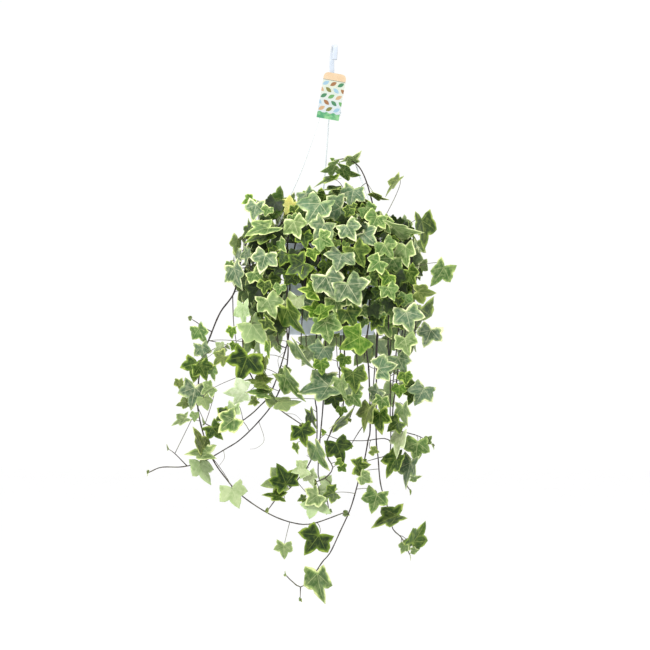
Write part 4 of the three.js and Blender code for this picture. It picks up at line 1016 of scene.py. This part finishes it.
def all_tendrils(stems):
    """(owner, course) of each tendril. It springs from the stem nearest to its start in the view."""
    lines = {name: np.concatenate(runs) for name, runs in stems.items() if "back" not in name}
    tendrils = []
    for (x, z), *rest in TENDRILS:
        found = []
        for owner, line in lines.items():
            away = np.hypot(line[:, 0] - x, line[:, 2] - z)
            found.append((away.min(), owner, line[away.argmin()]))
        _, owner, foot = min(found, key=lambda item: item[0])
        places = [foot, *[np.array([u, foot[1] - 1.5, v]) for u, v in rest]]
        tendrils.append((owner, curve_through(places, 3)))
    return tendrils


# Leaves


class Leaf:
    """A leaf's base, the way of its tip, the way its upper face looks, its reach, kind and stem."""

    def __init__(self, base, along, face, reach, kind, owner=None):
        self.base = base
        self.along = unit(along)
        self.face = unit(face - self.along * np.dot(face, self.along))
        self.across = np.cross(self.along, self.face)
        self.reach = reach
        self.kind = kind
        self.owner = owner

    def centre(self):
        return self.base + self.along * 0.4 * self.reach


def front_leaf(row, turn=0, size=1.0):
    """A leaf of the front view or a copy turned about the pot, and the way that it is seen along."""
    x, z, tip_x, tip_z, pitch, roll, kind, *inwards = row
    flat = math.hypot(tip_x - x, tip_z - z)
    sin, cos = sin_cos(pitch)
    along = np.array([(tip_x - x) / flat * cos, -sin, (tip_z - z) / flat * cos])
    face = turned(unit(-BACK + along * np.dot(BACK, along)), along, roll)
    base = np.array([x, -front_depth(x, z) + LAYER * sum(inwards), z])
    base, along, face, view = [turned(vector, UP, turn) for vector in (base, along, face, BACK)]
    return Leaf(base, along, face, size * flat / cos, kind), view


def cad_corners(leaf, is_copy):
    """Where the frame's leaf has the corners of its upper face. Its copies have three lobes."""
    three = leaf.reach < LARGE or is_copy
    half = CAD_BUD if leaf.reach < SMALL else CAD_THREE if three else CAD_FIVE
    corners = []
    for angle, reach in half:
        sin, cos = sin_cos(angle)
        for side in (1, -1) if angle else (1,):
            x, y = side * reach * sin, reach * cos
            height = FOLD * abs(x) - DROOP * y * abs(y)
            place = leaf.base + (leaf.across * x + leaf.along * y + leaf.face * height) * leaf.reach
            corners.append(place + leaf.face * CAD_BLADE / 2)
    return corners


class Plant:
    """The stems' runs by their nodes' names, and the leaves that have found a place on them."""

    def __init__(self):
        self.stems = all_stems()
        self.leaves = []
        self.strands = [strand_points(azimuth) for azimuth in STRAND_AZIMUTHS.values()]
        nodes = {name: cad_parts[name].data.vertices for name in self.stems}
        self.names = [name for name, vertices in nodes.items() for _ in vertices]
        self.tree = KDTree(len(self.names))
        for i, vertex in enumerate(v for vertices in nodes.values() for v in vertices):
            self.tree.insert(vertex.co, i)
        self.tree.balance()

    def settle(self, leaf, view, is_copy=False):
        """Adds a leaf where the frame has it, on the stem whose node has its corners."""
        start = leaf.base
        for shift in SHIFTS:
            leaf.base = start + view * shift
            votes = []
            for corner in cad_corners(leaf, is_copy):
                _, index, away = self.tree.find(Vector((corner + POT_AXIS) * MM))
                if away < SAME_PLACE * MM:
                    votes.append(self.names[index])
            leaf.owner = max(votes, key=votes.count, default=None)
            if votes.count(leaf.owner) >= 3:
                self.leaves.append(leaf)
                return

    def fill(self, candidates):
        """Adds those of the leaves that come clear, each on the stem nearest to it."""
        for candidate in candidates:
            leaf = Leaf(*candidate)
            if self.is_free(leaf.centre(), leaf.reach):
                away, leaf.owner = self.nearest_stem(leaf.base)
                if away < FARTHEST_STEM:
                    self.leaves.append(leaf)

    def nearest_stem(self, place):
        """(distance, name) of the stem nearest to a place."""
        return min(
            (nearest_on(run, place)[0], name) for name, runs in self.stems.items() for run in runs
        )

    def is_free(self, place, radius):
        """Whether a place keeps clear of the holder and of the leaves that are already there."""
        x, y, z = place
        clear_of_pot = RIM_RADIUS + RIM_ROOM if z > RIM_TOP - 24 else POT_TOP_RADIUS + POT_ROOM
        if math.hypot(x, y) < clear_of_pot and z < RIM_TOP + RIM_ROOM:
            return False
        if not is_within_reach(place + UP * 0.6 * radius, 0.3 * radius):
            return False
        for strand in self.strands:
            if np.min(np.linalg.norm(strand - place, axis=1)) < 0.35 * radius + STRAND_ROOM:
                return False
        left = self.strands[0]
        at = at_height(z, left[:, 2], left[:, 0])
        if abs(x - at) < 0.5 * radius + VIEW_ROOM and y < 4 and z > RIM_TOP + 11:
            return False
        for leaf in self.leaves:
            if np.linalg.norm(leaf.centre() - place) <= LEAF_ROOM * (radius + leaf.reach):
                return False
        return True


def dome_leaves(count, inset, kinds):
    """All round the crown, a way in from its outside."""
    for _ in range(count):
        azimuth, z = draw(0, 360), draw(*DOME_HEIGHTS)
        width, depth = outline_at(z)
        base = round_pot(azimuth) * [0.92 * (width - inset), depth - inset, 1] + UP * (z + 8)
        out = unit(base * [1, 1, 0] + UP * (z + 300) * 0.6)
        beside = unit(np.cross(out, UP))
        along = -UP + beside * draw(-0.9, 0.9) + out * draw(0.0, 0.5)
        face = out + beside * draw(-0.4, 0.4) + UP * draw(0.0, 0.5)
        yield base, along, face, draw(*DOME_REACHES), rng.choice(kinds)


def middle_leaves(count):
    """Over the soil, looking up."""
    for _ in range(count):
        out = round_pot(draw(0, 360))
        base = out * draw(6, 96) + UP * draw(*MIDDLE_HEIGHTS)
        along = out + np.cross(out, UP) * draw(-1.2, 1.2) + UP * draw(-0.6, 0.2)
        face = UP + out * draw(0.0, 0.7)
        kind = rng.choice([GREEN, BLUE, DARK, GREEN, PALE])
        yield base, along, face, draw(*MIDDLE_REACHES), kind


def curtain_leaves(count):
    """Hanging round the sides and back of the pot."""
    for _ in range(count):
        out, z = round_pot(draw(62, 298)), draw(*CURTAIN_HEIGHTS)
        base = out * draw(100, 126) + UP * z
        if base[0] < 0 and z < -375:
            continue
        beside = np.cross(out, UP)
        along = -UP + beside * draw(-0.8, 0.8) + out * draw(0.0, 0.4)
        face = out + beside * draw(-0.4, 0.4) + UP * draw(0.0, 0.4)
        kind = rng.choice(MIXED)
        yield base, along, face, draw(*CURTAIN_REACHES), kind


def front_fill(count, *sizes):
    """Dark ones, mostly painted shade, close behind the front, over the pot, apart from where the pot
    shows.
    """
    for _ in range(count):
        x, z = draw(-110, 115), draw(*FRONT_HEIGHTS)
        if -74 < x < -18 and (z < -360 or -316 < z < -285):
            continue
        base = np.array([x, -front_depth(x, z) + draw(8, 34), z + 8])
        along = np.array([draw(-0.8, 0.8), draw(-0.3, 0.1), -1.0])
        face = np.array([draw(-0.5, 0.5), -1.0, draw(0.0, 0.5)])
        kind = rng.choice([DARK, FOREST, DEEP_SHADE, DEEP_SHADE, GREEN])
        yield base, along, face, draw(*sizes), kind


def trailing_fill(run):
    """To the left and right of a trailing stem."""
    side = rng.choice([-1, 1])
    place = 60.0
    while place < (len(run) - 1) * STEM_STEP:
        foot = run[min(len(run) - 1, round(place / STEM_STEP))]
        out = unit(foot * [1, 1, 0])
        beside = np.cross(out, UP) * side
        if LOWEST_TRAILING < foot[2] < RIM_TOP + 10:
            base = foot + out * draw(4, 12) + beside * draw(9, 17)
            along = -UP + beside * draw(0.3, 0.9) + out * draw(-0.1, 0.4)
            kind = rng.choice([*MIXED, GREEN])
            yield base, along, out + UP * 0.3, draw(*TRAILING_REACHES), kind
        side = -side
        place += TRAILING_SPACING * draw(0.8, 1.25)


def grown_plant():
    """The frame's own leaves where it has them, and then those that fill the plant."""
    plant = Plant()
    for row in CROWN_LEAVES + LEFT_LEAVES + RIGHT_LEAVES:
        plant.settle(*front_leaf(row))
    for turn, size in CROWN_TURNS:
        for row in CROWN_LEAVES:
            leaf, view = front_leaf(row, turn, size)
            if abs(row[0]) < CROWN_HALF and leaf.reach > LEAST_COPY:
                plant.settle(leaf, view, is_copy=True)
    back = {name: runs[0] for name, runs in plant.stems.items() if "back" in name}
    for i, (name, run) in enumerate(back.items()):
        for part, side, reach in TRAILING:
            foot = run[round(part * (len(run) - 1))]
            out = unit(foot * [1, 1, 0])
            beside = np.cross(out, UP) * side * (-1) ** i
            along = unit(-UP + beside * 0.6 + out * 0.3)
            kind = rng.choice([GREEN, BLUE, DARK, PALE])
            leaf = Leaf(foot + out * 13 + beside * 11, along, out, reach, kind, name)
            if is_within_reach(leaf.base) and is_within_reach(leaf.base + leaf.along * reach):
                plant.leaves.append(leaf)
    for run in back.values():
        plant.fill(trailing_fill(run))
    plant.fill(front_fill(900, 17, 30))
    plant.fill(front_fill(900, 10, 17))
    plant.fill(curtain_leaves(700))
    plant.fill(middle_leaves(900))
    plant.fill(dome_leaves(700, 10, MIXED))
    # Further in, leaves in near-black kinds: painted shade for the crown's depths.
    plant.fill(dome_leaves(600, 34, [DEEP_SHADE, FOREST]))
    add_buds(plant)
    return plant


def add_buds(plant):
    """A pair of young leaves, still small, at the tip of each run of the stems."""
    for name, runs in plant.stems.items():
        for run in runs:
            ahead = unit(run[-1] - run[-3])
            out = unit(run[-1] * [1, 1, 0])
            for side, reach in ((1, draw(6, 9)), (-1, draw(4, 6))):
                along = ahead + side * 0.8 * unit(np.cross(ahead, out))
                kind = rng.choice([LIME, PALE, OLIVE])
                base = run[-1] + 1.5 * unit(along)
                plant.leaves.append(Leaf(base, along, out + UP * 0.4, reach, kind, name))


def half_outline(controls):
    """One side of a leaf's outline, from its tip to the notch, with its lobes a little uneven."""
    points = []
    for angle, reach in controls:
        if 0 < angle < 180:
            angle += draw(-4, 4)
            reach *= draw(0.92, 1.08)
        points.append(reach * np.array(sin_cos(angle)))
    line = []
    for i, (a, b) in enumerate(zip(points, points[1:])):
        line.append(a)
        ahead = unit(b - a)
        outwards = np.array([-ahead[1], ahead[0]])
        for part, bulge in LOBE_SIDES[:: 1 - i % 2 * 2]:
            part = 1 - part if i % 2 else part
            line.append(a + (b - a) * part + outwards * bulge)
    return np.array([*line, points[-1]])


def distance_to(points, line):
    """The distance of each point from a closed line."""
    start = line[None]
    step = np.roll(line, -1, axis=0)[None] - start
    part = np.sum((points[:, None] - start) * step, axis=2) / np.sum(step * step, axis=2)
    foot = start + step * np.clip(part, 0, 1)[..., None]
    return np.min(np.linalg.norm(points[:, None] - foot, axis=2), axis=1)


def blade_shape(leaf):
    """Corners, faces and the materials' readings of one leaf blade, both faces and its edge."""
    controls = YOUNG_LEAF if leaf.reach < SMALL else THREE_LOBES if leaf.reach < LARGE else FIVE_LOBES
    right, left = half_outline(controls), half_outline(controls)
    line = np.concatenate([right, left[-2:0:-1] * [-1, 1]])
    around = np.arctan2(line[:, 0], line[:, 1])
    phase, wave = draw(0, 6.3), draw(0.5, 1.0)
    line *= (1 + 0.014 * np.sin(9 * around + phase) + 0.010 * np.sin(16 * around - phase))[:, None]
    flat, ripple = [np.zeros((1, 2))], [np.zeros(1)]
    for fraction in RINGS:
        flat.append(line * fraction)
        ripple.append(0.026 * wave * fraction**2 * np.sin(5 * around + phase))
    flat, ripple = np.concatenate(flat), np.concatenate(ripple)
    x, y = flat[:, 0], flat[:, 1]
    height = FOLD * (np.sqrt(x * x + 0.0016) - 0.04) - DROOP * y * np.abs(y) + ripple
    spread = np.outer(x, leaf.across) + np.outer(y, leaf.along) + np.outer(height, leaf.face)
    middle = leaf.base + leaf.reach * spread
    corners = np.concatenate([middle + leaf.face * BLADE / 2, middle - leaf.face * BLADE / 2])
    n, m = len(line), len(x)
    faces = []
    for k in range(n):
        after = (k + 1) % n
        faces += [[0, 1 + after, 1 + k], [m, m + 1 + k, m + 1 + after]]
        for i in range(len(RINGS) - 1):
            a, b = 1 + i * n + k, 1 + i * n + after
            faces += [[a, b, b + n, a + n], [m + a, m + a + n, m + b + n, m + b]]
        a, b = m - n + k, m - n + after
        faces.append([a, b, m + b, m + a])
    readings = {"leaf_x": x, "leaf_y": y, "edge": distance_to(flat, line)}
    fields = {name: np.tile(values, 2) for name, values in readings.items()}
    return corners, faces, {**fields, "under": np.repeat([0.0, 1.0], m)}


def add_leaf(shape, leaf, runs):
    """A blade, and its stalk from the nearest point of its own stem."""
    light = np.interp(leaf.base[2], SHADE_HEIGHTS, SHADES)
    tone = light * draw(*TONES) * BODY_LIGHT
    body, margin = [linear(*colour) for colour in leaf.kind]
    body = tuple(c * tone * draw(0.95, 1.05) for c in body)
    margin = tuple(c * light for c in margin)
    corners, faces, fields = blade_shape(leaf)
    tints = {"body_tint": body, "margin_tint": margin}
    shape.add(corners, faces, 1, seed=draw(0, 1), **tints, **fields)
    found = [(*nearest_on(run, leaf.base), run) for run in runs]
    away, index, run = min(found, key=lambda item: item[0])
    bend = min(14, 0.35 * away)
    control = leaf.base - leaf.along * bend - leaf.face * 0.5 * bend
    t = np.linspace(0, 1, max(5, round(away / 6)))[:, None]
    stalk = (1 - t) ** 2 * run[index] + 2 * t * (1 - t) * control + t**2 * leaf.base
    thick = STALK_RADIUS if leaf.reach > SMALL else 0.6 * STALK_RADIUS
    shape.add(*tube(stalk, thick * np.linspace(1, 0.68, len(stalk)), 6), seed=draw(0.55, 1.0))


def plant_pieces(leaf_look, stem_look):
    """One piece for each of the frame's stems, in its place."""
    plant = grown_plant()
    tendrils = all_tendrils(plant.stems)
    for name, runs in plant.stems.items():
        shape = Gathered()
        add_stem(shape, runs)
        for owner, course in tendrils:
            if owner == name:
                radii = np.linspace(1, 0.5, len(course)) * TENDRIL_RADIUS
                shape.add(*tube(course, radii, 6), seed=0.9)
        for leaf in plant.leaves:
            if leaf.owner == name:
                add_leaf(shape, leaf, runs)
        shape.piece(name.replace("ivy", "vine"), "ivy", name, stem_look, leaf_look, with_fields=True)


# Studio


def studio():
    world = bpy.data.worlds.new("studio")
    bpy.context.scene.world = world
    world.use_nodes = True
    sky = world.node_tree.nodes["Background"].inputs
    sky["Color"].default_value = (1, 1, 1, 1)
    sky["Strength"].default_value = DAYLIGHT
    mesh = bpy.data.meshes.new("floor")
    corners = [(-1, -1), (1, -1), (1, 1), (-1, 1)]
    corners = [(FLOOR_HALF * x, FLOOR_HALF * y, FLOOR_LEVEL) for x, y in corners]
    mesh.from_pydata(corners, [], [(0, 1, 2, 3)])
    shader = Shader("floor_paper", 0.9)
    mesh.materials.append(shader.colour(shader.mix(shader.noise(3.0), (0.97,) * 3, (0.99,) * 3)))
    put("floor", mesh)
    area_light("key", (-1.2, -2.4, 1.8), 1.0, 90)
    area_light("fill", (2.2, -2.0, -0.2), 2.4, 5)
    area_light("top", (0.3, 0.8, 2.2), 1.6, 18)


def area_light(name, place, size, power):
    data = bpy.data.lights.new(name, "AREA")
    data.size = size
    data.energy = power
    lamp = put(name, data)
    lamp.location = place
    lamp.rotation_euler = (AIM - Vector(place)).to_track_quat("-Z", "Y").to_euler()


def camera():
    """Level, from far away, as the photograph was taken."""
    data = bpy.data.cameras.new("camera")
    data.sensor_width = 36
    data.lens = LENS
    data.clip_end = 100
    made = put("camera", data)
    made.location = CAMERA_PLACE
    made.rotation_euler = (math.radians(90), 0, 0)
    bpy.context.scene.camera = made


# The hook and the strands are of one plastic. The hook's copy is painted darker, as painted shade
# against the glare of the key lamp close above it; the strands' copy is painted lighter, as painted
# light where the leaves shade them.
hook_piece(plastic_material("hook_plastic_painted_darker", (184, 191, 199), (174, 182, 192), 0.34, 260.0))
white = plastic_material("strand_plastic_painted_lighter", (224, 229, 233), (216, 222, 227), 0.34, 260.0)
for side, azimuth in STRAND_AZIMUTHS.items():
    strand_piece(f"strand_{side}", azimuth, white)
pot_colours = (204, 213, 224), (194, 203, 214), 0.42, 180.0
lathed_piece("hanging_pot", "pot_plastic", "pot", pot_profile(), *pot_colours)
# The saucer is of the pot's plastic, painted darker as painted shade, for it hangs below the pot and
# the leaves.
saucer_colours = (192, 201, 212), (182, 191, 202), 0.44, 180.0
lathed_piece("drip_saucer", "saucer_plastic", "saucer", saucer_profile(), *saucer_colours)
soil_piece(soil_material())
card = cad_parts["care_tag"].data.materials
card.clear()
card.append(card_material())
plant_pieces(leaf_material(), stem_material())
studio()
camera()
bpy.context.scene.view_settings.view_transform = "Standard"
